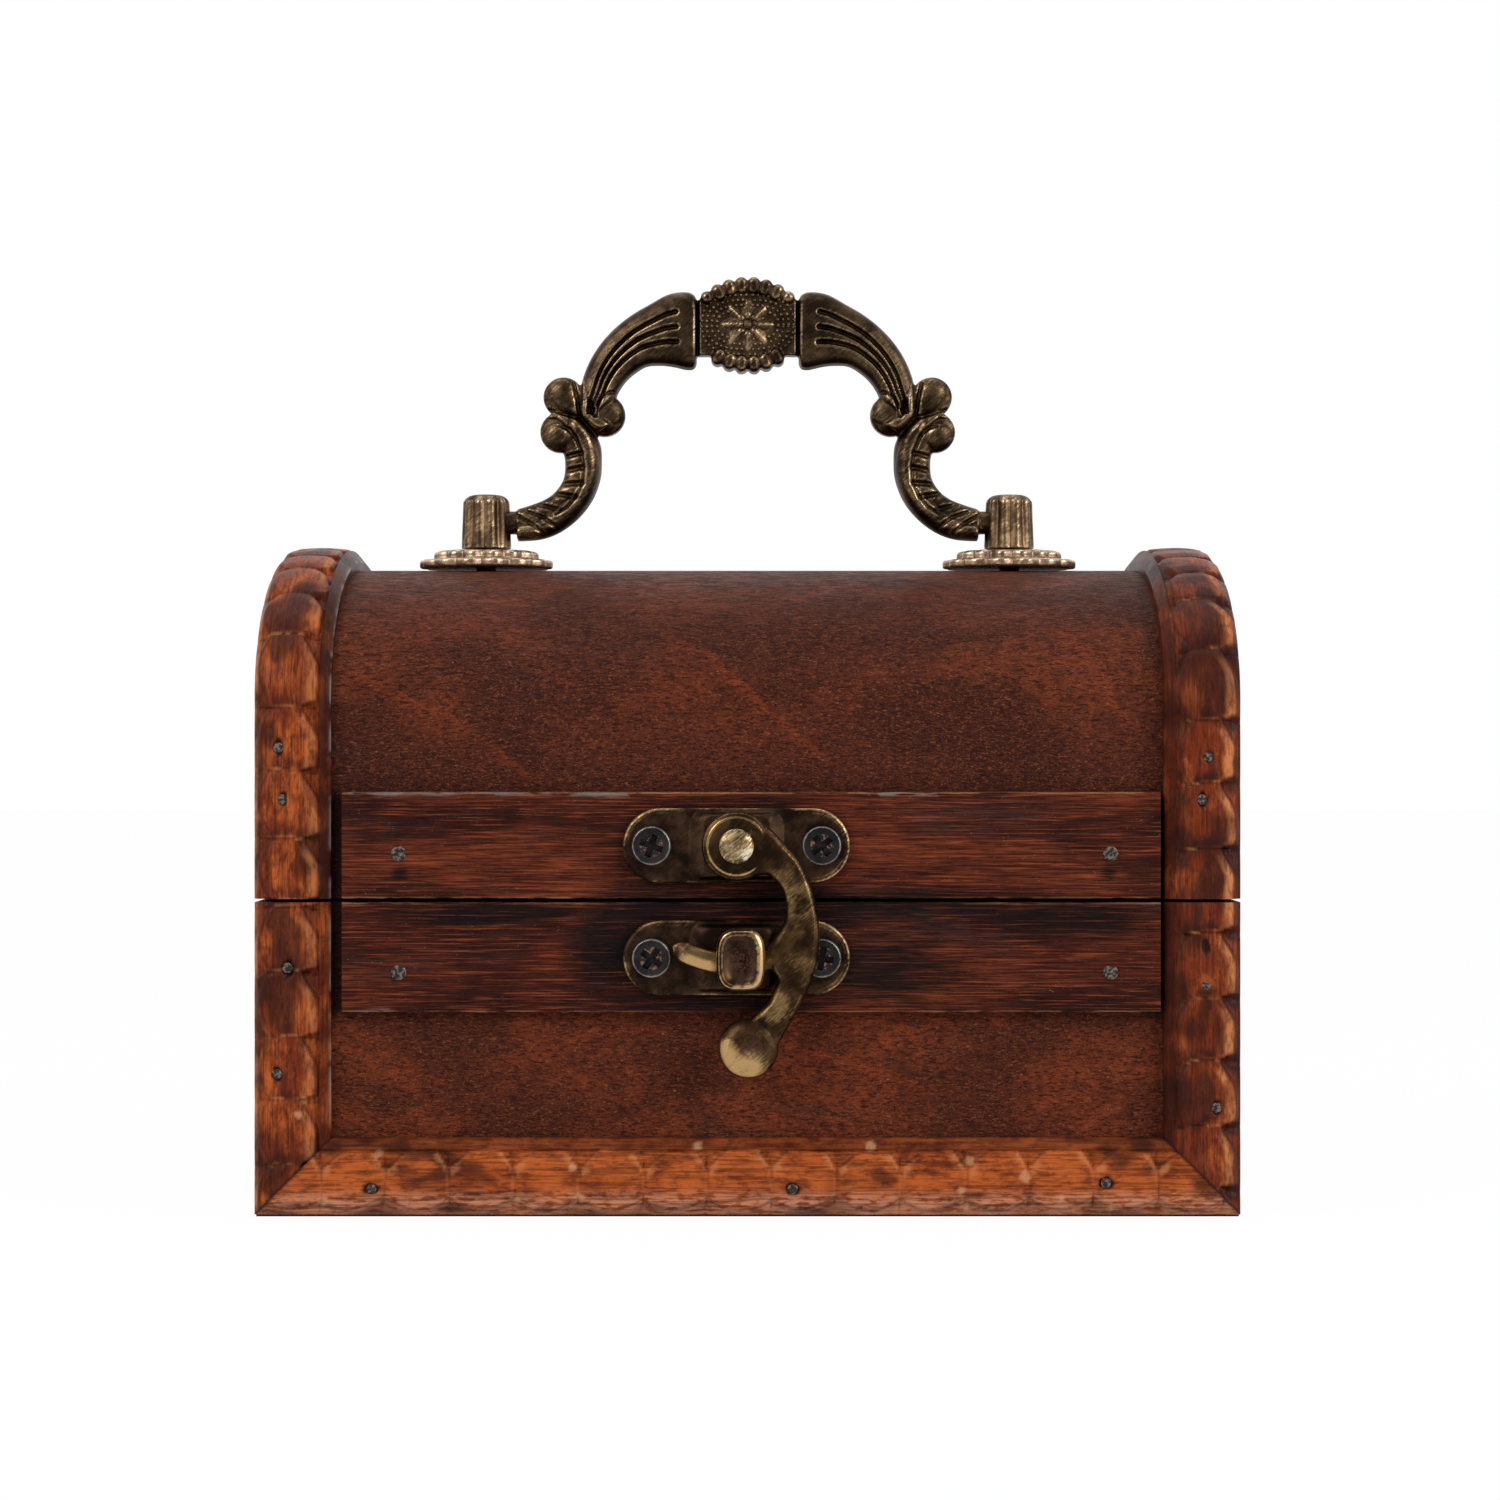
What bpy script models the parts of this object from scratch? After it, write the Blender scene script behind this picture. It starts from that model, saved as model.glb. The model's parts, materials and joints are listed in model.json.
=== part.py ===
"""Small arched wooden trinket box with carved edge strips, a swing-hook latch and a cast bail handle.

The box stands on the origin, with its front at -Y, its width along X and its hinges at the back.
The lid turns on the hinge axis, the bail handle on its two posts and the hook on its rivet.
"""

import math

import bmesh
import bpy
from mathutils import Matrix, Vector

# Overall sizes over the carved strips
BOX_WIDTH = 0.118
BOX_DEPTH = 0.080
PARTING_HEIGHT = 0.038
SPRING_HEIGHT = 0.062
CREST_HEIGHT = 0.082

# Clearances
SEAT_GAP = 0.0003
PARTING_GAP = 0.0004
RUNNING_GAP = 0.0001
OVERRUN = 0.001
MERGE_REACH = 0.000005

# Boards
PANEL_THICKNESS = 0.0025
END_THICKNESS = 0.0070
BOTTOM_THICKNESS = 0.0030

# Carved strips
STRIP_WIDTH = 0.0091
STRIP_THICKNESS = 0.0028
STRIP_FLOOR_GAP = 0.0004
CARVE_PITCH = 0.0076
CARVE_DEPTH = 0.0006
SCALLOP_DEPTH = 0.0005
CARVE_STEPS = 4

# Battens on the front and back
BATTEN_THICKNESS = 0.0018
BATTEN_GAP_LEFT = 0.0014
BATTEN_GAP_RIGHT = 0.0005
LID_BATTEN_HEIGHT = 0.0128
BASE_BATTEN_HEIGHT = 0.0132

# Small nails
NAIL_RADIUS = 0.00095
NAIL_HEAD_HEIGHT = 0.0004
NAIL_SHANK_RADIUS = 0.0004
LEFT_NAIL_INSET = 0.0082
RIGHT_NAIL_INSET = 0.0065
LID_NAIL_DROP = 0.0010
BASE_NAIL_DROP = 0.0018

# Latch plates
PLATE_LENGTH = 0.0272
PLATE_HEIGHT = 0.0090
PLATE_THICKNESS = 0.0008
PLATE_BEVEL = 0.0004
BOSS_LENGTH = 0.0100
BOSS_RISE = 0.0009
LATCH_OFFSET = -0.0013

# Black screws
SCREW_SPACING = 0.0203
SCREW_HEAD_RADIUS = 0.00235
SCREW_HEAD_HEIGHT = 0.0007
SCREW_SHANK_RADIUS = 0.0010
SCREW_LENGTH = 0.0036
CROSS_LENGTH = 0.0026
CROSS_WIDTH = 0.0005
CROSS_DEPTH = 0.0004

# Hook of the latch
HOOK_THICKNESS = 0.0018
EYE_RADIUS = 0.00405
RIVET_RADIUS = 0.0010
RIVET_HEAD_RADIUS = 0.0021
RIVET_HEAD_HEIGHT = 0.0010
THUMB_RADIUS = 0.0035
THUMB_REACH = 0.0100
THUMB_OFFSET = 0.0014
TINE_DROP = 0.0006
TINE_WIDTH = 0.0023
TINE_TIP_ANGLE = math.radians(-32.0)
TINE_ROOT_ANGLE = math.radians(26.0)
TINE_STEPS = 9

# Catch post with its open eye
CATCH_HEAD_WIDTH = 0.0057
CATCH_HEAD_HEIGHT = 0.0074
CATCH_HEAD_THICKNESS = 0.0015
CATCH_HEAD_BEVEL = 0.0005
CATCH_HEAD_OFFSET = 0.0005
CATCH_HEAD_GAP = 0.0005
CATCH_NECK_WIDTH = 0.0038
CATCH_NECK_HEIGHT = 0.0013

# Hinges
HINGE_INSET = 0.0290
HINGE_LENGTH = 0.0180
LEAF_HEIGHT = 0.0080
LEAF_THICKNESS = 0.0008
KNUCKLE_RADIUS = 0.00125
HINGE_PIN_RADIUS = 0.00055
HINGE_PIN_HEAD_RADIUS = 0.0009
HINGE_PIN_HEAD_HEIGHT = 0.0005
KNUCKLE_GAP = 0.0003
HINGE_NAIL_SPACING = 0.0110

# Handle posts and rosettes
ROSETTE_TRIM_GAP = 0.0073
PIVOT_RISE = 0.0060
POST_RISE = 0.0096
POST_BASE_RADIUS = 0.00315
POST_TOP_RADIUS = 0.00290
POST_CHAMFER = 0.0005
POST_FLUTES = 8
POST_FLUTE_DEPTH = 0.0003
ROSETTE_RADIUS = 0.00865
ROSETTE_TIER_RADIUS = 0.00675
ROSETTE_EDGE_HEIGHT = 0.0012
ROSETTE_HEIGHT = 0.0023
ROSETTE_LOBES = 12
ROSETTE_LOBE_DEPTH = 0.0007
HANDLE_SCREW_RADIUS = 0.0013
HANDLE_SCREW_HEAD_RADIUS = 0.0030
HANDLE_SCREW_HEAD_HEIGHT = 0.0012
HANDLE_SCREW_REACH = 0.0030

# Cast bail handle, whose pattern is cast to the size that fits between the posts
BAIL_POST_GAP = 0.0009
BAIL_PATTERN_SPAN = 0.0299
BAIL_RISE = 0.0256
BAIL_HALF_THICKNESS = 0.0023
BAIL_PIN_RADIUS = 0.0015
BAIL_PIN_LENGTH = 0.0022
SCROLL_RADIUS = 0.0027
LOBE_RADIUS = 0.0026
BRIDGE_RADIUS = 0.0017
MEDALLION_WIDTH = 0.0144
MEDALLION_HEIGHT = 0.0124
MEDALLION_HALF_THICKNESS = 0.0021
MEDALLION_LOBES = 26
MEDALLION_LOBE_DEPTH = 0.0004
STAR_POINTS = 8
STAR_RADIUS = 0.0033
STAR_INNER_RADIUS = 0.0016
STAR_RISE = 0.0007
STAR_BALL_RADIUS = 0.0010
TWIST_DEPTH = 0.0003

# Facets
ROUND_SIDES = 16
SMALL_SIDES = 10
BALL_SIDES = 11
BALL_RINGS = 7
ARCH_STEPS = 24

# Carved strip section, from its outer edge to its inner edge, as shares of its width and thickness
STRIP_SECTION_SHARES = ((0.0, 0.0), (0.0, 0.62), (0.12, 0.88), (0.42, 1.0), (0.74, 0.86), (0.84, 0.55),
                        (1.0, 0.38), (1.0, 0.0))
# How far each section point takes part in the carving
STRIP_CARVE_SHARES = (0.0, 1.0, 1.0, 0.8, 1.0, 0.3, 0.0, 0.0)
# How deep the carving goes at each step of one pitch
CARVE_SHARES = (1.0, 0.25, 0.0, 0.25)

# Fluted arm of the bail: outer and inner edges, as shares of the half span and of the rise
ARM_SHARES = (((0.221, 1.120), (0.221, 0.805)), ((0.232, 1.155), (0.232, 0.780)),
              ((0.270, 1.172), (0.262, 0.774)), ((0.345, 1.160), (0.325, 0.790)),
              ((0.425, 1.110), (0.385, 0.797)), ((0.505, 1.055), (0.440, 0.790)),
              ((0.580, 0.985), (0.490, 0.755)), ((0.645, 0.900), (0.530, 0.712)),
              ((0.695, 0.800), (0.560, 0.660)), ((0.725, 0.690), (0.585, 0.600)),
              ((0.735, 0.560), (0.635, 0.555)), ((0.700, 0.486), (0.612, 0.530)),
              ((0.650, 0.452), (0.590, 0.500)))
# Lower S of the bail: inner edge towards the box's middle, then outer edge, in the same shares
CURL_SHARES = (((0.680, 0.489), (0.803, 0.443)), ((0.640, 0.400), (0.806, 0.385)),
               ((0.633, 0.310), (0.794, 0.312)), ((0.640, 0.215), (0.800, 0.225)),
               ((0.675, 0.110), (0.836, 0.158)), ((0.735, 0.020), (0.880, 0.120)),
               ((0.815, -0.050), (0.925, 0.098)), ((0.900, -0.086), (0.965, 0.082)),
               ((1.0, -0.094), (1.0, 0.070)))
# Section across an arm: place across it and half thickness, with three flutes
FLUTED_SHARES = ((0.0, 0.25), (0.07, 0.62), (0.20, 0.95), (0.30, 0.72), (0.40, 1.0), (0.50, 0.76),
                 (0.60, 1.0), (0.70, 0.72), (0.80, 0.95), (0.93, 0.62), (1.0, 0.25))
PLAIN_SHARES = ((0.0, 0.25), (0.10, 0.66), (0.30, 0.94), (0.50, 1.0), (0.70, 0.94), (0.90, 0.66),
                (1.0, 0.25))
# Places of the scroll ball, the two outer lobes of the bail and the bridge between the three
SCROLL_SHARE = (0.622, 0.543)
LOBE_SHARES = ((0.799, 0.634), (0.813, 0.457))
BRIDGE_SHARE = (0.712, 0.530)
# Thickness of those four, in the same order but the bridge last, as shares of the arms' thickness
BALL_SHARES = (0.98, 0.91, 0.95, 0.83)
# Hook arm: outer and inner edges, as shares of the thumb pad's drop below the rivet
HOOK_SHARES = (((0.081, 0.138), (0.030, -0.132)), ((0.166, 0.076), (0.100, -0.138)),
               ((0.243, -0.005), (0.155, -0.136)), ((0.309, -0.081), (0.200, -0.170)),
               ((0.357, -0.185), (0.236, -0.226)), ((0.385, -0.290), (0.252, -0.300)),
               ((0.401, -0.385), (0.243, -0.375)), ((0.401, -0.480), (0.199, -0.453)),
               ((0.392, -0.560), (0.160, -0.522)), ((0.375, -0.625), (0.167, -0.592)),
               ((0.347, -0.709), (0.206, -0.655)), ((0.310, -0.785), (0.192, -0.710)),
               ((0.270, -0.855), (0.160, -0.778)), ((0.232, -0.920), (0.088, -0.846)),
               ((0.200, -0.980), (0.025, -0.900)))

HALF_WIDTH = BOX_WIDTH / 2
HALF_DEPTH = BOX_DEPTH / 2
PANEL_HALF_DEPTH = HALF_DEPTH - STRIP_THICKNESS
PANEL_CREST = CREST_HEIGHT - STRIP_THICKNESS
INNER_HALF_DEPTH = PANEL_HALF_DEPTH - PANEL_THICKNESS
INNER_CREST = PANEL_CREST - PANEL_THICKNESS
BASE_TOP = PARTING_HEIGHT - PARTING_GAP / 2
LID_FOOT = PARTING_HEIGHT + PARTING_GAP / 2
BOARD_FOOT = BOTTOM_THICKNESS + SEAT_GAP
BATTEN_FACE = PANEL_HALF_DEPTH + SEAT_GAP + BATTEN_THICKNESS
PLATE_BACK = BATTEN_FACE + SEAT_GAP
PLATE_FACE = PLATE_BACK + PLATE_THICKNESS
BOSS_FACE = PLATE_FACE + BOSS_RISE
HOOK_BACK = BOSS_FACE + SEAT_GAP
HOOK_FACE = HOOK_BACK + HOOK_THICKNESS
HINGE_Y = PLATE_BACK + KNUCKLE_RADIUS
HINGE_SPACING = BOX_WIDTH - 2 * HINGE_INSET
ROSETTE_SEAT = PANEL_CREST + SEAT_GAP
HANDLE_PIVOT_HEIGHT = ROSETTE_SEAT + PIVOT_RISE
INNER_TRIM_EDGE = HALF_WIDTH - STRIP_WIDTH
PIVOT_HEIGHT = LID_FOOT + LID_BATTEN_HEIGHT / 2
CATCH_HEIGHT = BASE_TOP - BASE_BATTEN_HEIGHT / 2
TINE_RADIUS = PIVOT_HEIGHT - CATCH_HEIGHT + TINE_DROP
THUMB_DROP = TINE_RADIUS + THUMB_REACH
POST_SPACING = 2 * (INNER_TRIM_EDGE - ROSETTE_TRIM_GAP - ROSETTE_RADIUS)
BAIL_HALF_SPAN = POST_SPACING / 2 - POST_BASE_RADIUS - BAIL_POST_GAP
BAIL_SCALE = BAIL_HALF_SPAN / BAIL_PATTERN_SPAN
PALETTE = {
    "panel_wood": ((0.085, 0.022, 0.010), 0.45, 0.0),
    "end_wood": ((0.110, 0.032, 0.014), 0.55, 0.0),
    "trim_wood": ((0.300, 0.085, 0.028), 0.35, 0.0),
    "batten_wood": ((0.110, 0.024, 0.012), 0.55, 0.0),
    "antique_brass": ((0.190, 0.140, 0.065), 0.38, 1.0),
    "black_screw": ((0.012, 0.012, 0.013), 0.40, 0.6),
    "steel_nail": ((0.060, 0.050, 0.045), 0.60, 0.8),
}


def clear_scene():
    """Remove whatever the scene holds."""
    for thing in list(bpy.data.objects):
        bpy.data.objects.remove(thing)


def make_material(name):
    """Make a material from the palette."""
    colour, roughness, metallic = PALETTE[name]
    material = bpy.data.materials.new(name)
    material.use_nodes = True
    shader = material.node_tree.nodes["Principled BSDF"]
    shader.inputs["Base Color"].default_value = (*colour, 1.0)
    shader.inputs["Roughness"].default_value = roughness
    shader.inputs["Metallic"].default_value = metallic
    return material


def place(name, shape, palette_name, parent=None, smooth=False):
    """Turn a bmesh into a named object with its material, under its parent."""
    bmesh.ops.recalc_face_normals(shape, faces=shape.faces[:])
    shape.normal_update()
    bmesh.ops.triangulate(shape, faces=shape.faces[:])
    mesh = bpy.data.meshes.new(name)
    shape.to_mesh(mesh)
    shape.free()
    if smooth:
        mesh.shade_smooth()
        mesh.set_sharp_from_angle(angle=math.radians(35.0))
    thing = bpy.data.objects.new(name, mesh)
    mesh.materials.append(make_material(palette_name))
    bpy.context.collection.objects.link(thing)
    if parent is not None:
        thing.parent = parent
        thing.matrix_parent_inverse = parent.matrix_world.inverted()
    return thing


def tool(shape):
    """A shape that cuts or joins another one and is then removed."""
    thing = place("tool", shape, "end_wood")
    thing.hide_render = True
    thing.display_type = "WIRE"
    return thing


def combine(target, other, operation):
    """Cut the other shape from the target or join it to it."""
    modifier = target.modifiers.new("combine", "BOOLEAN")
    modifier.operation = operation
    modifier.solver = "EXACT"
    modifier.object = other
    bpy.context.view_layer.update()
    depsgraph = bpy.context.evaluated_depsgraph_get()
    result = bpy.data.meshes.new_from_object(target.evaluated_get(depsgraph))
    target.modifiers.remove(modifier)
    cleaned = bmesh.new()
    cleaned.from_mesh(result)
    bmesh.ops.remove_doubles(cleaned, verts=cleaned.verts[:], dist=MERGE_REACH)
    bmesh.ops.dissolve_degenerate(cleaned, edges=cleaned.edges[:], dist=MERGE_REACH)
    cleaned.to_mesh(result)
    cleaned.free()
    target.data = result
    bpy.data.objects.remove(other)
    return target


def cut(target, shape):
    return combine(target, tool(shape), "DIFFERENCE")


def join(target, shape):
    return combine(target, tool(shape), "UNION")


def box(low, high):
    """A block between two corners."""
    shape = bmesh.new()
    size = Vector(high) - Vector(low)
    middle = (Vector(high) + Vector(low)) / 2
    matrix = Matrix.Translation(middle) @ Matrix.Diagonal((*size, 1.0))
    bmesh.ops.create_cube(shape, size=1.0, matrix=matrix)
    return shape


def bevelled(shape, width, segments=1, picked=None):
    """Bevel all edges of a shape, or those that a test picks."""
    edges = [edge for edge in shape.edges if picked is None or picked(edge)]
    bmesh.ops.bevel(shape, geom=edges, offset=width, segments=segments, profile=0.5, affect="EDGES")
    return shape


def prism(outline, along):
    """Extrude a flat outline along a vector."""
    shape = bmesh.new()
    face = shape.faces.new([shape.verts.new(point) for point in outline])
    extruded = bmesh.ops.extrude_face_region(shape, geom=[face])
    moved = [part for part in extruded["geom"] if isinstance(part, bmesh.types.BMVert)]
    bmesh.ops.translate(shape, verts=moved, vec=along)
    return shape


def loft(rings):
    """Skin a row of rings with equal point counts and cap both ends."""
    shape = bmesh.new()
    rows = [[shape.verts.new(point) for point in ring] for ring in rings]
    count = len(rows[0])
    for lower, upper in zip(rows, rows[1:]):
        for index in range(count):
            following = (index + 1) % count
            shape.faces.new((lower[index], lower[following], upper[following], upper[index]))
    shape.faces.new(rows[0])
    shape.faces.new(rows[-1])
    return shape


def turned(profile, sides, matrix):
    """Turn a profile of (radius, height) points about Z, then move it by the matrix."""
    rings = []
    for radius, height in profile:
        if radius > 0:
            rings.append([(radius * math.cos(math.tau * side / sides), radius * math.sin(math.tau * side / sides),
                           height) for side in range(sides)])
    shape = loft(rings)
    bmesh.ops.transform(shape, matrix=matrix, verts=shape.verts[:])
    return shape


def facing_front(x, depth, z):
    """A frame whose Z points out of the front, at a distance in front of the box's middle."""
    return Matrix.Translation((x, -depth, z)) @ Matrix.Rotation(math.radians(90.0), 4, "X")


def facing_back(x, depth, z):
    return Matrix.Translation((x, depth, z)) @ Matrix.Rotation(math.radians(-90.0), 4, "X")


def along_x(x, y, z):
    return Matrix.Translation((x, y, z)) @ Matrix.Rotation(math.radians(90.0), 4, "Y")


def upright(x, y, z):
    return Matrix.Translation((x, y, z))


def pivot(name, location, parent=None):
    """An empty on a joint's axis."""
    empty = bpy.data.objects.new(name, None)
    empty.location = location
    bpy.context.collection.objects.link(empty)
    bpy.context.view_layer.update()
    if parent is not None:
        empty.parent = parent
        empty.matrix_parent_inverse = parent.matrix_world.inverted()
    return empty


def arch_point(turn, half_depth, crest):
    """A point of the lid's half ellipse, from the front spring (0) to the back spring (pi)."""
    return (-half_depth * math.cos(turn), SPRING_HEIGHT + (crest - SPRING_HEIGHT) * math.sin(turn))


def arch_outline(half_depth, crest, foot):
    """The lid's outline in the YZ plane, from its front foot over the top to its back foot."""
    arc = [arch_point(math.pi * step / ARCH_STEPS, half_depth, crest) for step in range(ARCH_STEPS + 1)]
    return [(-half_depth, foot)] + arc + [(half_depth, foot)]


def strip_ring(frame, mirror, step):
    """One section of a carved strip on a frame of origin, across and outward vectors."""
    origin, across, outward = frame
    depth = CARVE_SHARES[step % CARVE_STEPS]
    ring = []
    for (width_share, height_share), carve_share in zip(STRIP_SECTION_SHARES, STRIP_CARVE_SHARES):
        scallop = SCALLOP_DEPTH * depth * carve_share * (1 - 2 * width_share)
        lowered = CARVE_DEPTH * depth * carve_share
        reach = STRIP_WIDTH * width_share + scallop
        height = max(STRIP_THICKNESS * height_share - lowered, 0.0)
        ring.append(origin + across * reach * mirror + outward * height)
    return ring


def straight_strip(start, end, across, outward):
    """A carved strip between two points, with a carve joint every pitch."""
    length = (end - start).length
    steps = max(round(length / CARVE_PITCH * CARVE_STEPS), CARVE_STEPS)
    rings = []
    for step in range(steps + 1):
        origin = start.lerp(end, step / steps)
        rings.append(strip_ring((origin, across, outward), 1, step))
    return loft(rings)


def arch_path(half_depth, crest, foot):
    """Evenly spaced points and outward normals up the front leg, over the arch and down the back leg."""
    fine = ARCH_STEPS * 8
    dense = [(Vector((0, -half_depth, foot)), Vector((0, -1, 0)))]
    for index in range(fine + 1):
        turn = math.pi * index / fine
        y, z = arch_point(turn, half_depth, crest)
        normal = Vector((0, -(crest - SPRING_HEIGHT) * math.cos(turn), half_depth * math.sin(turn)))
        dense.append((Vector((0, y, z)), normal.normalized()))
    dense.append((Vector((0, half_depth, foot)), Vector((0, 1, 0))))
    reach = [0.0]
    for (before, _), (after, _) in zip(dense, dense[1:]):
        reach.append(reach[-1] + (after - before).length)
    steps = round(reach[-1] / CARVE_PITCH) * CARVE_STEPS
    path = []
    segment = 0
    for step in range(steps + 1):
        wanted = reach[-1] * step / steps
        while segment < len(dense) - 2 and reach[segment + 1] < wanted:
            segment += 1
        share = (wanted - reach[segment]) / (reach[segment + 1] - reach[segment])
        point = dense[segment][0].lerp(dense[segment + 1][0], share)
        normal = dense[segment][1].lerp(dense[segment + 1][1], share).normalized()
        path.append((point, normal))
    return path


def mitre(shape, corner, normal):
    """Cut a strip off along a plane and close the cut."""
    geometry = shape.verts[:] + shape.edges[:] + shape.faces[:]
    result = bmesh.ops.bisect_plane(shape, geom=geometry, dist=SEAT_GAP / 1000, plane_co=corner,
                                    plane_no=normal, clear_outer=True)
    rim = [part for part in result["geom_cut"] if isinstance(part, bmesh.types.BMEdge)]
    bmesh.ops.edgenet_fill(shape, edges=rim)
    return shape


def build_boards():
    """Bottom, front, back and end boards of the base."""
    place("base_bottom", box((-HALF_WIDTH, -PANEL_HALF_DEPTH, 0),
                             (HALF_WIDTH, PANEL_HALF_DEPTH, BOTTOM_THICKNESS)), "panel_wood")
    for name, side in (("base_front_panel", -1), ("base_back_panel", 1)):
        faces = sorted((side * PANEL_HALF_DEPTH, side * INNER_HALF_DEPTH))
        panel = place(name, box((-HALF_WIDTH, faces[0], BOARD_FOOT), (HALF_WIDTH, faces[1], BASE_TOP)),
                      "panel_wood")
        if side < 0:
            drill_screws(panel, CATCH_HEIGHT)
    end_half_depth = INNER_HALF_DEPTH - SEAT_GAP
    for name, side in (("base_end_left", -1), ("base_end_right", 1)):
        faces = sorted((side * HALF_WIDTH, side * (HALF_WIDTH - END_THICKNESS)))
        board = box((faces[0], -end_half_depth, BOARD_FOOT), (faces[1], end_half_depth, BASE_TOP))
        place(name, board, "end_wood")


def build_lid_boards(lid):
    """Bent shell over two arched end boards."""
    outer = arch_outline(PANEL_HALF_DEPTH, PANEL_CREST, LID_FOOT)
    inner = arch_outline(INNER_HALF_DEPTH, INNER_CREST, LID_FOOT)
    section = [Vector((-HALF_WIDTH, y, z)) for y, z in outer + inner[::-1]]
    shell = place("lid_shell", prism(section, (BOX_WIDTH, 0, 0)), "panel_wood", lid, smooth=True)
    drill_screws(shell, PIVOT_HEIGHT)
    for side in (-1, 1):
        hole = turned(((HANDLE_SCREW_RADIUS + SEAT_GAP, INNER_CREST - OVERRUN),
                       (HANDLE_SCREW_RADIUS + SEAT_GAP, PANEL_CREST + OVERRUN)),
                      SMALL_SIDES, upright(side * POST_SPACING / 2, 0, 0))
        cut(shell, hole)
    board = arch_outline(INNER_HALF_DEPTH - SEAT_GAP, INNER_CREST - SEAT_GAP, LID_FOOT)
    for name, side in (("lid_end_left", -1), ("lid_end_right", 1)):
        start = min(side * HALF_WIDTH, side * (HALF_WIDTH - END_THICKNESS))
        section = [Vector((start, y, z)) for y, z in board]
        place(name, prism(section, (END_THICKNESS, 0, 0)), "end_wood", lid, smooth=True)


def build_base_strips():
    """Mitred carved frame on the front and on the back of the base."""
    foot = STRIP_FLOOR_GAP
    for face, side in (("front", -1), ("back", 1)):
        outward = Vector((0, side, 0))
        seat = side * (PANEL_HALF_DEPTH + SEAT_GAP)
        bottom = straight_strip(Vector((-HALF_WIDTH, seat, foot)), Vector((HALF_WIDTH, seat, foot)),
                                Vector((0, 0, 1)), outward * (1 - SEAT_GAP / STRIP_THICKNESS))
        for end in (-1, 1):
            corner = Vector((end * (HALF_WIDTH - SEAT_GAP), seat, foot))
            mitre(bottom, corner, Vector((end, 0, 1)))
        place(f"base_trim_{face}_bottom", bottom, "trim_wood")
        for name, end in (("left", -1), ("right", 1)):
            start = Vector((end * HALF_WIDTH, seat, foot))
            post = straight_strip(start, Vector((end * HALF_WIDTH, seat, BASE_TOP)), Vector((-end, 0, 0)),
                                  outward * (1 - SEAT_GAP / STRIP_THICKNESS))
            mitre(post, start, Vector((-end, 0, -1)))
            place(f"base_trim_{face}_{name}", post, "trim_wood")


def build_lid_strips(lid):
    """Carved strips up the front, over the arch and down the back of the lid's two ends."""
    path = arch_path(PANEL_HALF_DEPTH + SEAT_GAP, PANEL_CREST + SEAT_GAP, LID_FOOT)
    for name, end in (("lid_trim_left", -1), ("lid_trim_right", 1)):
        rings = []
        for step, (point, normal) in enumerate(path):
            origin = point + Vector((end * HALF_WIDTH, 0, 0))
            outward = normal * (1 - SEAT_GAP / STRIP_THICKNESS)
            rings.append(strip_ring((origin, Vector((-end, 0, 0)), outward), 1, step))
        place(name, loft(rings), "trim_wood", lid, smooth=True)


def batten(name, side, foot, top, parent):
    """A flat batten between the carved strips, on the front or the back."""
    faces = sorted((side * (PANEL_HALF_DEPTH + SEAT_GAP), side * BATTEN_FACE))
    low = (-INNER_TRIM_EDGE + BATTEN_GAP_LEFT, faces[0], foot)
    high = (INNER_TRIM_EDGE - BATTEN_GAP_RIGHT, faces[1], top)
    return place(name, box(low, high), "batten_wood", parent)


def build_battens(lid):
    """Four battens, two of them drilled for the latch, with their nails."""
    lid_top = LID_FOOT + LID_BATTEN_HEIGHT
    base_foot = BASE_TOP - BASE_BATTEN_HEIGHT
    lid_front = batten("lid_batten_front", -1, LID_FOOT, lid_top, lid)
    drill_screws(lid_front, PIVOT_HEIGHT)
    base_front = batten("base_batten_front", -1, base_foot, BASE_TOP, None)
    drill_screws(base_front, CATCH_HEIGHT)
    lid_back = batten("lid_batten_back", 1, LID_FOOT, lid_top, lid)
    base_back = batten("base_batten_back", 1, base_foot, BASE_TOP, None)
    for body, board, height in (("lid", lid_front, (LID_FOOT + lid_top) / 2 - LID_NAIL_DROP),
                                ("base", base_front, (BASE_TOP + base_foot) / 2 - BASE_NAIL_DROP)):
        for name, x in (("left", LEFT_NAIL_INSET - INNER_TRIM_EDGE),
                        ("right", INNER_TRIM_EDGE - RIGHT_NAIL_INSET)):
            cut(board, nail_hole(facing_front(x, BATTEN_FACE, height), BATTEN_THICKNESS))
            place(f"{body}_nail_{name}", nail(facing_front(x, BATTEN_FACE, height), BATTEN_THICKNESS),
                  "steel_nail", board.parent, smooth=True)
    return lid_back, base_back


def nail(frame, length):
    """A nail whose domed head stands on the face at the frame's origin."""
    profile = ((NAIL_SHANK_RADIUS, -length), (NAIL_SHANK_RADIUS, SEAT_GAP), (NAIL_RADIUS, SEAT_GAP),
               (NAIL_RADIUS, SEAT_GAP + NAIL_HEAD_HEIGHT / 2), (NAIL_RADIUS / 2, SEAT_GAP + NAIL_HEAD_HEIGHT))
    return turned(profile, SMALL_SIDES, frame)


def nail_hole(frame, length):
    radius = NAIL_SHANK_RADIUS + SEAT_GAP
    return turned(((radius, -length - OVERRUN), (radius, OVERRUN)), SMALL_SIDES, frame)


def screw_places():
    """The two screw places of a latch plate along X."""
    return (("left", LATCH_OFFSET - SCREW_SPACING / 2), ("right", LATCH_OFFSET + SCREW_SPACING / 2))


def drill_screws(board, height):
    """Drill a front board for a plate's two screws."""
    for _, x in screw_places():
        radius = SCREW_SHANK_RADIUS + SEAT_GAP
        cut(board, turned(((radius, -SCREW_LENGTH - OVERRUN), (radius, OVERRUN)), SMALL_SIDES,
                          facing_front(x, PLATE_BACK, height)))


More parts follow.
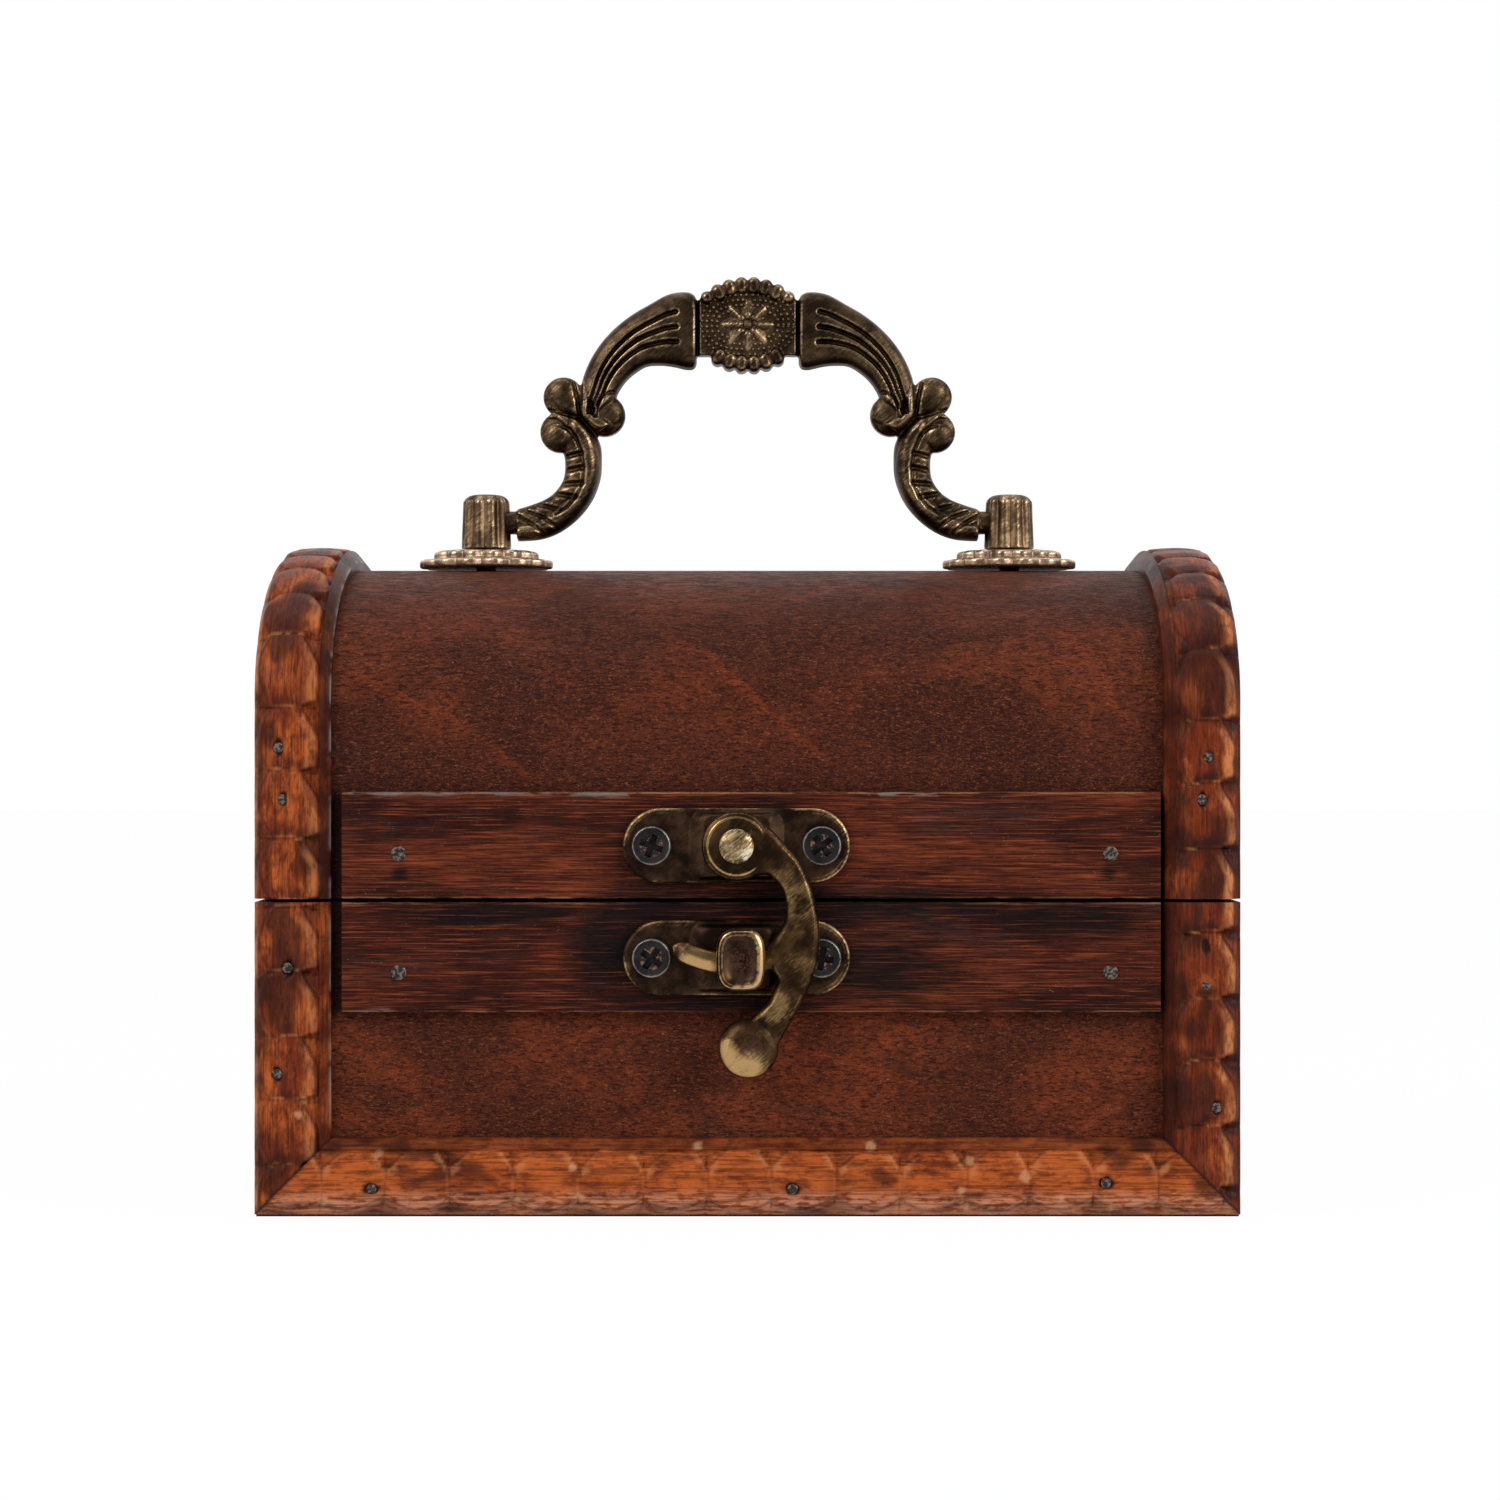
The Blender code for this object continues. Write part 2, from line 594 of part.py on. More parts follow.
def obround(length, height, depth, centre_x, centre_z):
    """A long outline with round ends, standing in front of the box."""
    radius = height / 2
    straight = length / 2 - radius
    points = []
    for end in (1, -1):
        for step in range(SMALL_SIDES + 1):
            turn = end * math.pi / 2 - math.pi * step / SMALL_SIDES
            points.append(Vector((centre_x + end * straight + radius * math.cos(turn), -depth,
                                  centre_z + radius * math.sin(turn))))
    return points


def latch_plate(name, height, parent, bore):
    """A stamped plate with a raised middle and two screw holes."""
    outline = obround(PLATE_LENGTH, PLATE_HEIGHT, PLATE_BACK, LATCH_OFFSET, height)
    shape = prism(outline, (0, -PLATE_THICKNESS, 0))
    front = -PLATE_FACE + RUNNING_GAP
    bevelled(shape, PLATE_BEVEL, 2, lambda edge: all(vert.co.y < front for vert in edge.verts))
    plate = place(name, shape, "antique_brass", parent)
    boss_foot = PLATE_BACK + PLATE_THICKNESS / 2
    boss_height = PLATE_HEIGHT - 2 * PLATE_BEVEL
    boss = box((LATCH_OFFSET - BOSS_LENGTH / 2, -BOSS_FACE, height - boss_height / 2),
               (LATCH_OFFSET + BOSS_LENGTH / 2, -boss_foot, height + boss_height / 2))
    crown = -BOSS_FACE + RUNNING_GAP
    join(plate, bevelled(boss, BOSS_RISE, 2, lambda edge: all(vert.co.y < crown for vert in edge.verts)))
    for _, x in screw_places():
        radius = SCREW_SHANK_RADIUS + SEAT_GAP
        cut(plate, turned(((radius, -OVERRUN), (radius, PLATE_THICKNESS + OVERRUN)), SMALL_SIDES,
                          facing_front(x, PLATE_BACK, height)))
    if bore:
        cut(plate, turned(((bore, -OVERRUN), (bore, BOSS_FACE - PLATE_BACK + OVERRUN)), SMALL_SIDES,
                          facing_front(LATCH_OFFSET, PLATE_BACK, height)))
    return plate


def latch_screw(name, x, height, parent):
    """A low round-headed screw with a cross recess, through the plate into the boards."""
    seat = PLATE_THICKNESS + SEAT_GAP
    top = seat + SCREW_HEAD_HEIGHT
    profile = ((SCREW_SHANK_RADIUS, -SCREW_LENGTH), (SCREW_SHANK_RADIUS, seat), (SCREW_HEAD_RADIUS, seat),
               (SCREW_HEAD_RADIUS, seat + SCREW_HEAD_HEIGHT / 2), (SCREW_HEAD_RADIUS - SCREW_HEAD_HEIGHT / 2, top))
    frame = facing_front(x, PLATE_BACK, height)
    screw = place(name, turned(profile, ROUND_SIDES, frame), "black_screw", parent, smooth=True)
    for length, width in ((CROSS_LENGTH, CROSS_WIDTH), (CROSS_WIDTH, CROSS_LENGTH)):
        slot = box((-length / 2, -width / 2, top - CROSS_DEPTH), (length / 2, width / 2, top + OVERRUN))
        turn = Matrix.Rotation(math.radians(30.0), 4, "Z")
        bmesh.ops.transform(slot, matrix=frame @ turn, verts=slot.verts[:])
        cut(screw, slot)
    return screw


def band(edges, scale_x, scale_z, origin, half_thickness, section, shift=0.0, crest=None):
    """Loft a casting's arm between an outer and an inner edge in the XZ plane."""
    rings = []
    for step, (outer, inner) in enumerate(edges):
        start = origin + Vector((outer[0] * scale_x, shift, outer[1] * scale_z))
        end = origin + Vector((inner[0] * scale_x, shift, inner[1] * scale_z))
        raised = 0.0 if crest is None else crest(step, len(edges))
        ring = [start.lerp(end, across) + Vector((0, -(half_thickness + raised) * half, 0))
                for across, half in section]
        ring += [start.lerp(end, across) + Vector((0, (half_thickness + raised) * half, 0))
                 for across, half in reversed(section)]
        rings.append(ring)
    return loft(rings)


def refined(edges, parts):
    """Put evenly blended edge pairs between those of a table, on a smooth curve."""
    result = []
    last = len(edges) - 1
    for index in range(last):
        around = [edges[max(index - 1, 0)], edges[index], edges[index + 1], edges[min(index + 2, last)]]
        for part in range(parts):
            share = part / parts
            result.append(tuple(tuple(catmull([pair[edge][axis] for pair in around], share) for axis in (0, 1))
                                for edge in (0, 1)))
    result.append(edges[last])
    return result


def catmull(values, share):
    """A smooth curve through the middle two of four values."""
    before, start, end, after = values
    bend = 2 * before - 5 * start + 4 * end - after
    swing = 3 * start - before - 3 * end + after
    return 0.5 * (2 * start + (end - before) * share + bend * share ** 2 + swing * share ** 3)


def flattened_ball(centre, radius, half_thickness):
    """A round lobe of the casting, flattened front to back."""
    shape = bmesh.new()
    matrix = Matrix.Translation(centre) @ Matrix.Diagonal((radius, half_thickness, radius, 1.0))
    bmesh.ops.create_uvsphere(shape, u_segments=BALL_SIDES, v_segments=BALL_RINGS, radius=1.0,
                              matrix=matrix @ Matrix.Rotation(math.radians(90.0), 4, "X"))
    return shape


def lobed_outline(width, height, lobes, depth, steps_per_lobe=3):
    """An oval outline whose edge swells into lobes."""
    points = []
    count = lobes * steps_per_lobe
    for step in range(count):
        turn = math.tau * step / count
        swell = depth * (abs(math.cos(lobes * turn / 2)) - 1)
        points.append(((width / 2 + swell) * math.cos(turn), (height / 2 + swell) * math.sin(turn)))
    return points


def build_hook(hook, lid):
    """The swing hook: eye, curved arm, thumb pad and the tine that lies behind the catch's head."""
    origin = Vector((LATCH_OFFSET, -(HOOK_BACK + HOOK_THICKNESS / 2), PIVOT_HEIGHT))
    half = HOOK_THICKNESS / 2
    eye_profile = ((EYE_RADIUS - half, -half), (EYE_RADIUS, -half / 2), (EYE_RADIUS, half / 2),
                   (EYE_RADIUS - half, half))
    eye_frame = facing_front(origin.x, -origin.y, origin.z)
    eye = turned(eye_profile, ROUND_SIDES, eye_frame)
    thing = place("latch_hook", eye, "antique_brass", hook, smooth=True)
    join(thing, band(refined(HOOK_SHARES, 2), THUMB_DROP, THUMB_DROP, origin, half - RUNNING_GAP,
                     PLAIN_SHARES))
    rings = []
    for step in range(TINE_STEPS + 1):
        share = step / TINE_STEPS
        turn = TINE_TIP_ANGLE + (TINE_ROOT_ANGLE - TINE_TIP_ANGLE) * share
        middle = origin + Vector((TINE_RADIUS * math.sin(turn), 0, -TINE_RADIUS * math.cos(turn)))
        along = Vector((math.sin(turn), 0, -math.cos(turn)))
        width = TINE_WIDTH / 2 * min(1.0, 0.6 + share * 4)
        depth = (half - 2 * RUNNING_GAP) * min(1.0, 0.6 + share * 4)
        rings.append([middle + along * width * math.cos(math.tau * side / 8)
                      + Vector((0, depth * math.sin(math.tau * side / 8), 0)) for side in range(8)])
    join(thing, loft(rings))
    pad_centre = origin + Vector((THUMB_OFFSET, 0, -THUMB_DROP))
    join(thing, flattened_ball(pad_centre, THUMB_RADIUS, half + RUNNING_GAP))
    bore = RIVET_RADIUS + RUNNING_GAP
    cut(thing, turned(((bore, -HOOK_THICKNESS), (bore, HOOK_THICKNESS)), SMALL_SIDES, eye_frame))
    rivet_top = HOOK_FACE - PLATE_BACK + SEAT_GAP
    rivet = ((RIVET_RADIUS, SEAT_GAP / 2), (RIVET_RADIUS, rivet_top), (RIVET_HEAD_RADIUS, rivet_top),
             (RIVET_HEAD_RADIUS, rivet_top + RIVET_HEAD_HEIGHT / 2),
             (RIVET_HEAD_RADIUS / 2, rivet_top + RIVET_HEAD_HEIGHT))
    place("latch_rivet", turned(rivet, ROUND_SIDES, facing_front(LATCH_OFFSET, PLATE_BACK, PIVOT_HEIGHT)),
          "antique_brass", lid, smooth=True)


def build_catch():
    """The catch post: a bevelled head in front of the tine, on a neck below it."""
    x = LATCH_OFFSET + CATCH_HEAD_OFFSET
    low = CATCH_HEIGHT - CATCH_HEAD_HEIGHT / 2
    back = HOOK_FACE + CATCH_HEAD_GAP
    outline = obround(CATCH_HEAD_HEIGHT, CATCH_HEAD_HEIGHT, back, x, CATCH_HEIGHT)
    limit = CATCH_HEAD_WIDTH / 2
    outline = [Vector((min(max(point.x, x - limit), x + limit), point.y, point.z)) for point in outline]
    shape = prism(outline, (0, -CATCH_HEAD_THICKNESS, 0))
    bmesh.ops.remove_doubles(shape, verts=shape.verts[:], dist=RUNNING_GAP)
    bmesh.ops.dissolve_limit(shape, angle_limit=math.radians(1.0), verts=shape.verts[:],
                             edges=shape.edges[:])
    front = -back - CATCH_HEAD_THICKNESS + RUNNING_GAP
    bevelled(shape, CATCH_HEAD_BEVEL, 2, lambda edge: all(vert.co.y < front for vert in edge.verts))
    post = place("catch_post", shape, "antique_brass")
    neck_foot = low + SEAT_GAP
    join(post, box((x - CATCH_NECK_WIDTH / 2, -back - CATCH_HEAD_THICKNESS / 2, neck_foot),
                   (x + CATCH_NECK_WIDTH / 2, -BOSS_FACE - SEAT_GAP, neck_foot + CATCH_NECK_HEIGHT)))


def build_latch(lid, hook):
    """Plates, screws, rivet, catch and hook on the front."""
    latch_plate("latch_plate", PIVOT_HEIGHT, lid, RIVET_RADIUS + RUNNING_GAP)
    latch_plate("catch_plate", CATCH_HEIGHT, None, None)
    for name, x in screw_places():
        latch_screw(f"latch_screw_{name}", x, PIVOT_HEIGHT, lid)
        latch_screw(f"catch_screw_{name}", x, CATCH_HEIGHT, None)
    build_catch()
    build_hook(hook, lid)


def hinge_leaf(name, centre, side, parent, knuckles):
    """A hinge leaf with its rolled knuckles, bored for the pin."""
    root = side * (KNUCKLE_RADIUS + KNUCKLE_GAP)
    tip = side * LEAF_HEIGHT
    foot, top = sorted((PARTING_HEIGHT + root, PARTING_HEIGHT + tip))
    low = (centre - HINGE_LENGTH / 2, PLATE_BACK, foot)
    high = (centre + HINGE_LENGTH / 2, PLATE_BACK + LEAF_THICKNESS, top)
    leaf = place(name, box(low, high), "antique_brass", parent)
    for start, end in knuckles:
        length = end - start
        frame = along_x(centre + start, HINGE_Y, PARTING_HEIGHT)
        join(leaf, turned(((KNUCKLE_RADIUS, 0), (KNUCKLE_RADIUS, length)), ROUND_SIDES, frame))
        tab_foot, tab_top = sorted((PARTING_HEIGHT, PARTING_HEIGHT + side * (LEAF_HEIGHT / 2)))
        join(leaf, box((centre + start, PLATE_BACK, tab_foot),
                       (centre + end, PLATE_BACK + LEAF_THICKNESS, tab_top)))
    bore = HINGE_PIN_RADIUS + RUNNING_GAP
    cut(leaf, turned(((bore, -OVERRUN), (bore, HINGE_LENGTH + OVERRUN)), ROUND_SIDES,
                     along_x(centre - HINGE_LENGTH / 2, HINGE_Y, PARTING_HEIGHT)))
    return leaf


def build_hinges(lid, lid_batten, base_batten):
    """Two small butt hinges on the back battens, with their pins and nails."""
    third = HINGE_LENGTH / 3
    half = HINGE_LENGTH / 2
    outer = ((-half, -half + third - KNUCKLE_GAP), (half - third + KNUCKLE_GAP, half))
    middle = ((-half + third, half - third),)
    for name, end in (("left", -1), ("right", 1)):
        centre = end * HINGE_SPACING / 2
        leaves = ((hinge_leaf(f"hinge_{name}_base_leaf", centre, -1, None, outer), base_batten, -1, "base"),
                  (hinge_leaf(f"hinge_{name}_lid_leaf", centre, 1, lid, middle), lid_batten, 1, "lid"))
        pin = ((HINGE_PIN_HEAD_RADIUS, -HINGE_PIN_HEAD_HEIGHT - SEAT_GAP), (HINGE_PIN_HEAD_RADIUS, -SEAT_GAP),
               (HINGE_PIN_RADIUS, -SEAT_GAP), (HINGE_PIN_RADIUS, HINGE_LENGTH + SEAT_GAP))
        place(f"hinge_{name}_pin", turned(pin, ROUND_SIDES, along_x(centre - half, HINGE_Y, PARTING_HEIGHT)),
              "steel_nail", smooth=True)
        for leaf, board, side, body in leaves:
            height = PARTING_HEIGHT + side * (LEAF_HEIGHT + KNUCKLE_RADIUS) / 2
            face = PLATE_BACK + LEAF_THICKNESS
            depth = BATTEN_THICKNESS + LEAF_THICKNESS
            for number, shift in (("1", -1), ("2", 1)):
                x = centre + shift * HINGE_NAIL_SPACING / 2
                cut(leaf, nail_hole(facing_back(x, face, height), depth))
                cut(board, nail_hole(facing_back(x, face, height), depth))
                place(f"hinge_{name}_{body}_nail_{number}", nail(facing_back(x, face, height), depth),
                      "steel_nail", leaf.parent, smooth=True)


def fluted_ring(radius, height, flutes, depth, steps=3):
    count = flutes * steps
    ring = []
    for step in range(count):
        turn = math.tau * step / count
        reach = radius - (depth if step % steps == 0 else 0.0)
        ring.append((reach * math.cos(turn), reach * math.sin(turn), height))
    return ring


def build_posts(lid):
    """Two fluted posts on scalloped rosettes, screwed down from inside the lid."""
    for name, side in (("left", -1), ("right", 1)):
        x = side * POST_SPACING / 2
        tiers = ((ROSETTE_RADIUS, 0.0), (ROSETTE_RADIUS, ROSETTE_EDGE_HEIGHT / 2),
                 (ROSETTE_RADIUS - ROSETTE_LOBE_DEPTH, ROSETTE_EDGE_HEIGHT),
                 (ROSETTE_TIER_RADIUS, ROSETTE_EDGE_HEIGHT), (ROSETTE_TIER_RADIUS, ROSETTE_HEIGHT * 3 / 4),
                 (ROSETTE_TIER_RADIUS - ROSETTE_LOBE_DEPTH, ROSETTE_HEIGHT))
        rings = []
        for radius, height in tiers:
            outline = lobed_outline(2 * radius, 2 * radius, ROSETTE_LOBES, ROSETTE_LOBE_DEPTH)
            rings.append([(x + u, v, ROSETTE_SEAT + height) for u, v in outline])
        rosette = place(f"handle_rosette_{name}", loft(rings), "antique_brass", lid)
        bore = HANDLE_SCREW_RADIUS + SEAT_GAP
        cut(rosette, turned(((bore, -OVERRUN), (bore, ROSETTE_HEIGHT + OVERRUN)), SMALL_SIDES,
                            upright(x, 0, ROSETTE_SEAT)))
        foot = ROSETTE_HEIGHT + SEAT_GAP
        sections = (fluted_ring(POST_BASE_RADIUS, foot, POST_FLUTES, POST_FLUTE_DEPTH),
                    fluted_ring(POST_TOP_RADIUS, POST_RISE - POST_CHAMFER, POST_FLUTES, POST_FLUTE_DEPTH),
                    fluted_ring(POST_TOP_RADIUS - POST_CHAMFER, POST_RISE, POST_FLUTES, 0.0))
        rings = [[(x + u, v, ROSETTE_SEAT + w) for u, v, w in ring] for ring in sections]
        post = place(f"handle_post_{name}", loft(rings), "antique_brass", lid)
        pin_bore = BAIL_PIN_RADIUS + RUNNING_GAP
        pin_start = side * BAIL_HALF_SPAN
        pin_end = side * (BAIL_HALF_SPAN + BAIL_PIN_LENGTH + SEAT_GAP)
        low, high = sorted((pin_start, pin_end))
        cut(post, turned(((pin_bore, 0), (pin_bore, high - low)), ROUND_SIDES,
                         along_x(low, 0, HANDLE_PIVOT_HEIGHT)))
        cut(post, turned(((bore, foot - OVERRUN), (bore, foot + HANDLE_SCREW_REACH)), SMALL_SIDES,
                         upright(x, 0, ROSETTE_SEAT)))
        head_seat = INNER_CREST - SEAT_GAP
        screw = ((HANDLE_SCREW_HEAD_RADIUS / 2, head_seat - HANDLE_SCREW_HEAD_HEIGHT),
                 (HANDLE_SCREW_HEAD_RADIUS, head_seat - HANDLE_SCREW_HEAD_HEIGHT / 2),
                 (HANDLE_SCREW_HEAD_RADIUS, head_seat), (HANDLE_SCREW_RADIUS, head_seat),
                 (HANDLE_SCREW_RADIUS, ROSETTE_SEAT + foot + HANDLE_SCREW_REACH - SEAT_GAP))
        place(f"handle_screw_{name}", turned(screw, ROUND_SIDES, upright(x, 0, 0)), "steel_nail", lid,
              smooth=True)


def twist(step, count):
    """Raise every other section of the S into a rope-like rib."""
    return TWIST_DEPTH if step % 2 and step < count - 2 else 0.0


def build_bail(handle):
    """The cast handle: medallion, fluted arms, scrolls, lower S curls and pivot pins."""
    origin = Vector((0, 0, HANDLE_PIVOT_HEIGHT))
    outline = lobed_outline(MEDALLION_WIDTH, MEDALLION_HEIGHT, MEDALLION_LOBES, MEDALLION_LOBE_DEPTH)
    middle = origin.z + BAIL_RISE
    rim = MEDALLION_LOBE_DEPTH
    rings = []
    for reach, depth in ((-rim, -MEDALLION_HALF_THICKNESS), (0.0, -MEDALLION_HALF_THICKNESS + rim),
                         (0.0, MEDALLION_HALF_THICKNESS - rim), (-rim, MEDALLION_HALF_THICKNESS)):
        shrink_x = 1 + 2 * reach / MEDALLION_WIDTH
        shrink_z = 1 + 2 * reach / MEDALLION_HEIGHT
        rings.append([(u * shrink_x, depth, middle + v * shrink_z) for u, v in outline])
    bail = place("handle_bail", loft(rings), "antique_brass", handle, smooth=True)
    for face in (-1, 1):
        join(bail, star(middle, face))
        knob = Vector((0, face * (MEDALLION_HALF_THICKNESS + STAR_RISE - STAR_BALL_RADIUS / 2), middle))
        join(bail, flattened_ball(knob, STAR_BALL_RADIUS, STAR_BALL_RADIUS))
    for side in (-1, 1):
        add_bail_arm(bail, origin, side)
    resized = Matrix.Scale(BAIL_SCALE, 4)
    bail.data.transform(Matrix.Translation(origin) @ resized @ Matrix.Translation(-origin))
    for side in (-1, 1):
        ends = sorted((side * (BAIL_HALF_SPAN - BAIL_PIN_RADIUS), side * (BAIL_HALF_SPAN + BAIL_PIN_LENGTH)))
        pin = turned(((BAIL_PIN_RADIUS, 0), (BAIL_PIN_RADIUS, ends[1] - ends[0])), ROUND_SIDES,
                     along_x(ends[0], 0, HANDLE_PIVOT_HEIGHT))
        join(bail, pin)
    return bail


def star(height, face):
    """A low star with ridged points on one face of the medallion."""
    shape = bmesh.new()
    foot = face * (MEDALLION_HALF_THICKNESS - STAR_RISE)
    edge = face * (MEDALLION_HALF_THICKNESS + STAR_RISE / 3)
    lower, upper = [], []
    for step in range(2 * STAR_POINTS):
        turn = math.pi * step / STAR_POINTS + math.pi / 2
        radius = STAR_INNER_RADIUS if step % 2 else STAR_RADIUS
        u, v = radius * math.cos(turn), radius * math.sin(turn)
        lower.append(shape.verts.new((u, foot, height + v)))
        upper.append(shape.verts.new((u, edge, height + v)))
    apex = shape.verts.new((0, face * (MEDALLION_HALF_THICKNESS + STAR_RISE), height))
    shape.faces.new(lower)
    for index in range(2 * STAR_POINTS):
        following = (index + 1) % (2 * STAR_POINTS)
        shape.faces.new((lower[index], lower[following], upper[following], upper[index]))
        shape.faces.new((upper[index], upper[following], apex))
    return shape


def add_bail_arm(bail, origin, side):
    """One side of the bail's pattern, from the medallion down to the pivot pin's root."""
    span = side * BAIL_PATTERN_SPAN
    join(bail, band(refined(ARM_SHARES, 1), span, BAIL_RISE, origin, BAIL_HALF_THICKNESS, FLUTED_SHARES))
    join(bail, band(refined(CURL_SHARES, 2), span, BAIL_RISE, origin, BAIL_HALF_THICKNESS - TWIST_DEPTH * 2,
                    PLAIN_SHARES, crest=twist))
    places = (SCROLL_SHARE, *LOBE_SHARES, BRIDGE_SHARE)
    radii = (SCROLL_RADIUS, LOBE_RADIUS, LOBE_RADIUS, BRIDGE_RADIUS)
    for (across, up), radius, share in zip(places, radii, BALL_SHARES):
        centre = origin + Vector((across * span, 0, up * BAIL_RISE))
        join(bail, flattened_ball(centre, radius, share * BAIL_HALF_THICKNESS))


def build():
    clear_scene()
    lid = pivot("lid_hinge_axis", (0, HINGE_Y, PARTING_HEIGHT))
    handle = pivot("handle_axis", (0, 0, HANDLE_PIVOT_HEIGHT), lid)
    hook = pivot("hook_axis", (LATCH_OFFSET, -HOOK_BACK, PIVOT_HEIGHT), lid)
    build_boards()
    build_lid_boards(lid)
    build_base_strips()
    build_lid_strips(lid)
    lid_back, base_back = build_battens(lid)
    build_latch(lid, hook)
    build_hinges(lid, lid_back, base_back)
    build_posts(lid)
    build_bail(handle)


build()
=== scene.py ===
"""The finish of a small arched wooden trinket box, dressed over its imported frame.

Sizes are in metres, in the frame's own axes: +X to the right, +Y to the hinges, +Z up.
"""

import json
import math

import bmesh
import bpy
import numpy as np
from mathutils import Matrix, Vector, noise


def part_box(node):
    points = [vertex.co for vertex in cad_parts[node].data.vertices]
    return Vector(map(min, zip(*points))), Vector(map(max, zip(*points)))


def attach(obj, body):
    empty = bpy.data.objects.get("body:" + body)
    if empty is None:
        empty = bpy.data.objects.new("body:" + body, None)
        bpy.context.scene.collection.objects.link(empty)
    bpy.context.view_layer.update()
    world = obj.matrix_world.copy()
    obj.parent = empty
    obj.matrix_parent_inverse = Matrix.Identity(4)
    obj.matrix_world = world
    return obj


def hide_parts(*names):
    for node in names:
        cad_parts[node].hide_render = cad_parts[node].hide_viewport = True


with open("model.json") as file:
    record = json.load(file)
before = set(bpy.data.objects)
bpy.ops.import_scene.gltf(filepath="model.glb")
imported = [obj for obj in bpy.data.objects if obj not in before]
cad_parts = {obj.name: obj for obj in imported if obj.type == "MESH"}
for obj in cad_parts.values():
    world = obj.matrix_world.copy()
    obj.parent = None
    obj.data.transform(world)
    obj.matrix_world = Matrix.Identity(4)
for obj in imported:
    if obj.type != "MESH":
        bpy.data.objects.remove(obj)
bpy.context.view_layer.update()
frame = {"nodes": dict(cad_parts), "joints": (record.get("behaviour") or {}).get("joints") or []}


# Studio: a white floor and backdrop under soft boxes, seen straight on from lid height.
# A dim card stands behind the camera and overhead, as the dark half of the room that the box mirrors.
CAMERA_PLACE = (0.0003, -0.49, 0.056)
CAMERA_LENS = 90.5
FLOOR_SIZE = 6.0
ROOM_FRONT = -1.4
ROOM_BACK = 0.1
ROOM_HALF_WIDTH = 1.0
ROOM_HEIGHT = 1.5
ROOM_GLOW = 0.16
SOFT_BOXES = (
    ("key", (-0.5, -0.62, 0.55), 0.5, 4.6), ("fill", (0.62, -0.52, 0.34), 0.42, 4.2),
    ("crown", (0.0, -0.05, 0.95), 0.7, 2.4))
WHITE = (1.0, 1.0, 1.0)
ROOM_LIGHT = 0.5
FLOOR_GREY = (0.9, 0.9, 0.9)
FLOOR_WHITE = 0.975
LAMP_TARGET = (0.0, 0.0, 0.05)


class Output:
    """A node's output that plain sums can use: each sign adds a maths node."""

    def __init__(self, socket):
        self.socket = socket
        self.tree = socket.id_data

    def __add__(self, other):
        return maths("ADD", self, other)

    def __sub__(self, other):
        return maths("SUBTRACT", self, other)

    def __rsub__(self, other):
        return maths("SUBTRACT", other, self)

    def __mul__(self, other):
        return maths("MULTIPLY", self, other)

    def __truediv__(self, other):
        return maths("DIVIDE", self, other)

    def __pow__(self, other):
        return maths("POWER", self, other)

    def __abs__(self):
        return maths("ABSOLUTE", self)


class Outputs:
    """All outputs of a node, by number or name."""

    def __init__(self, node):
        self.node = node

    def __getitem__(self, key):
        return Output(self.node.outputs[key])


def feed(node, inputs):
    """Link or set a node's inputs. A colour may be given without its alpha."""
    for key, value in inputs.items():
        socket = node.inputs[key]
        if isinstance(value, Output):
            node.id_data.links.new(value.socket, socket)
        else:
            socket.default_value = (*value, 1.0) if socket.type == "RGBA" else value


def add_node(tree, kind, inputs=None, **settings):
    """Add a node with its properties and inputs, and give its outputs."""
    made = tree.nodes.new(kind)
    for name, value in settings.items():
        setattr(made, name, value)
    feed(made, inputs or {})
    return Outputs(made)


def maths(operation, *values, clamp=False):
    """Chain maths nodes over numbers and outputs."""
    tree = next(value.tree for value in values if isinstance(value, Output))
    total = values[0]
    for value in values[1:] or (0.0,):
        total = add_node(tree, "ShaderNodeMath", {0: total, 1: value}, operation=operation, use_clamp=clamp)[0]
    return total


def white_to_the_eye(shader, share):
    """Mix plain white over a shader for camera, glossy and transmission rays."""
    path = add_node(shader.tree, "ShaderNodeLightPath")
    seen = maths("MAXIMUM", path["Is Camera Ray"], path["Is Glossy Ray"], path["Is Transmission Ray"])
    glow = add_node(shader.tree, "ShaderNodeEmission", {"Color": WHITE, "Strength": 1.0})[0]
    return add_node(shader.tree, "ShaderNodeMixShader", {0: seen * share, 1: shader, 2: glow})[0]


def add_object(name, data):
    """Put a mesh, camera or lamp in the scene."""
    thing = bpy.data.objects.new(name, data)
    bpy.context.collection.objects.link(thing)
    return thing


def add_stage(name, corners, faces):
    """A flat stage piece that isn't part of the box."""
    mesh = bpy.data.meshes.new(name)
    mesh.from_pydata(corners, [], faces)
    thing = add_object(name, mesh)
    material = bpy.data.materials.new(name)
    material.use_nodes = True
    material.node_tree.nodes.clear()
    mesh.materials.append(material)
    return thing, material.node_tree


camera = add_object("camera", bpy.data.cameras.new("camera"))
camera.data.lens = CAMERA_LENS
camera.location = CAMERA_PLACE
camera.rotation_euler = (math.radians(90.0), 0.0, 0.0)
bpy.context.scene.camera = camera
bpy.context.scene.view_settings.view_transform = "Standard"

for lamp_name, lamp_place, lamp_size, lamp_power in SOFT_BOXES:
    lamp = add_object(lamp_name, bpy.data.lights.new(lamp_name, "AREA"))
    lamp.data.shape = "SQUARE"
    lamp.data.size = lamp_size
    lamp.data.energy = lamp_power
    lamp.location = lamp_place
    lamp.rotation_euler = (Vector(LAMP_TARGET) - lamp.location).to_track_quat("-Z", "Y").to_euler()

world = bpy.data.worlds.new("white studio")
bpy.context.scene.world = world
world.use_nodes = True
world.node_tree.nodes.clear()
world_light = add_node(world.node_tree, "ShaderNodeBackground", {"Color": WHITE, "Strength": ROOM_LIGHT})[0]
add_node(world.node_tree, "ShaderNodeOutputWorld", {"Surface": white_to_the_eye(world_light, 1.0)})

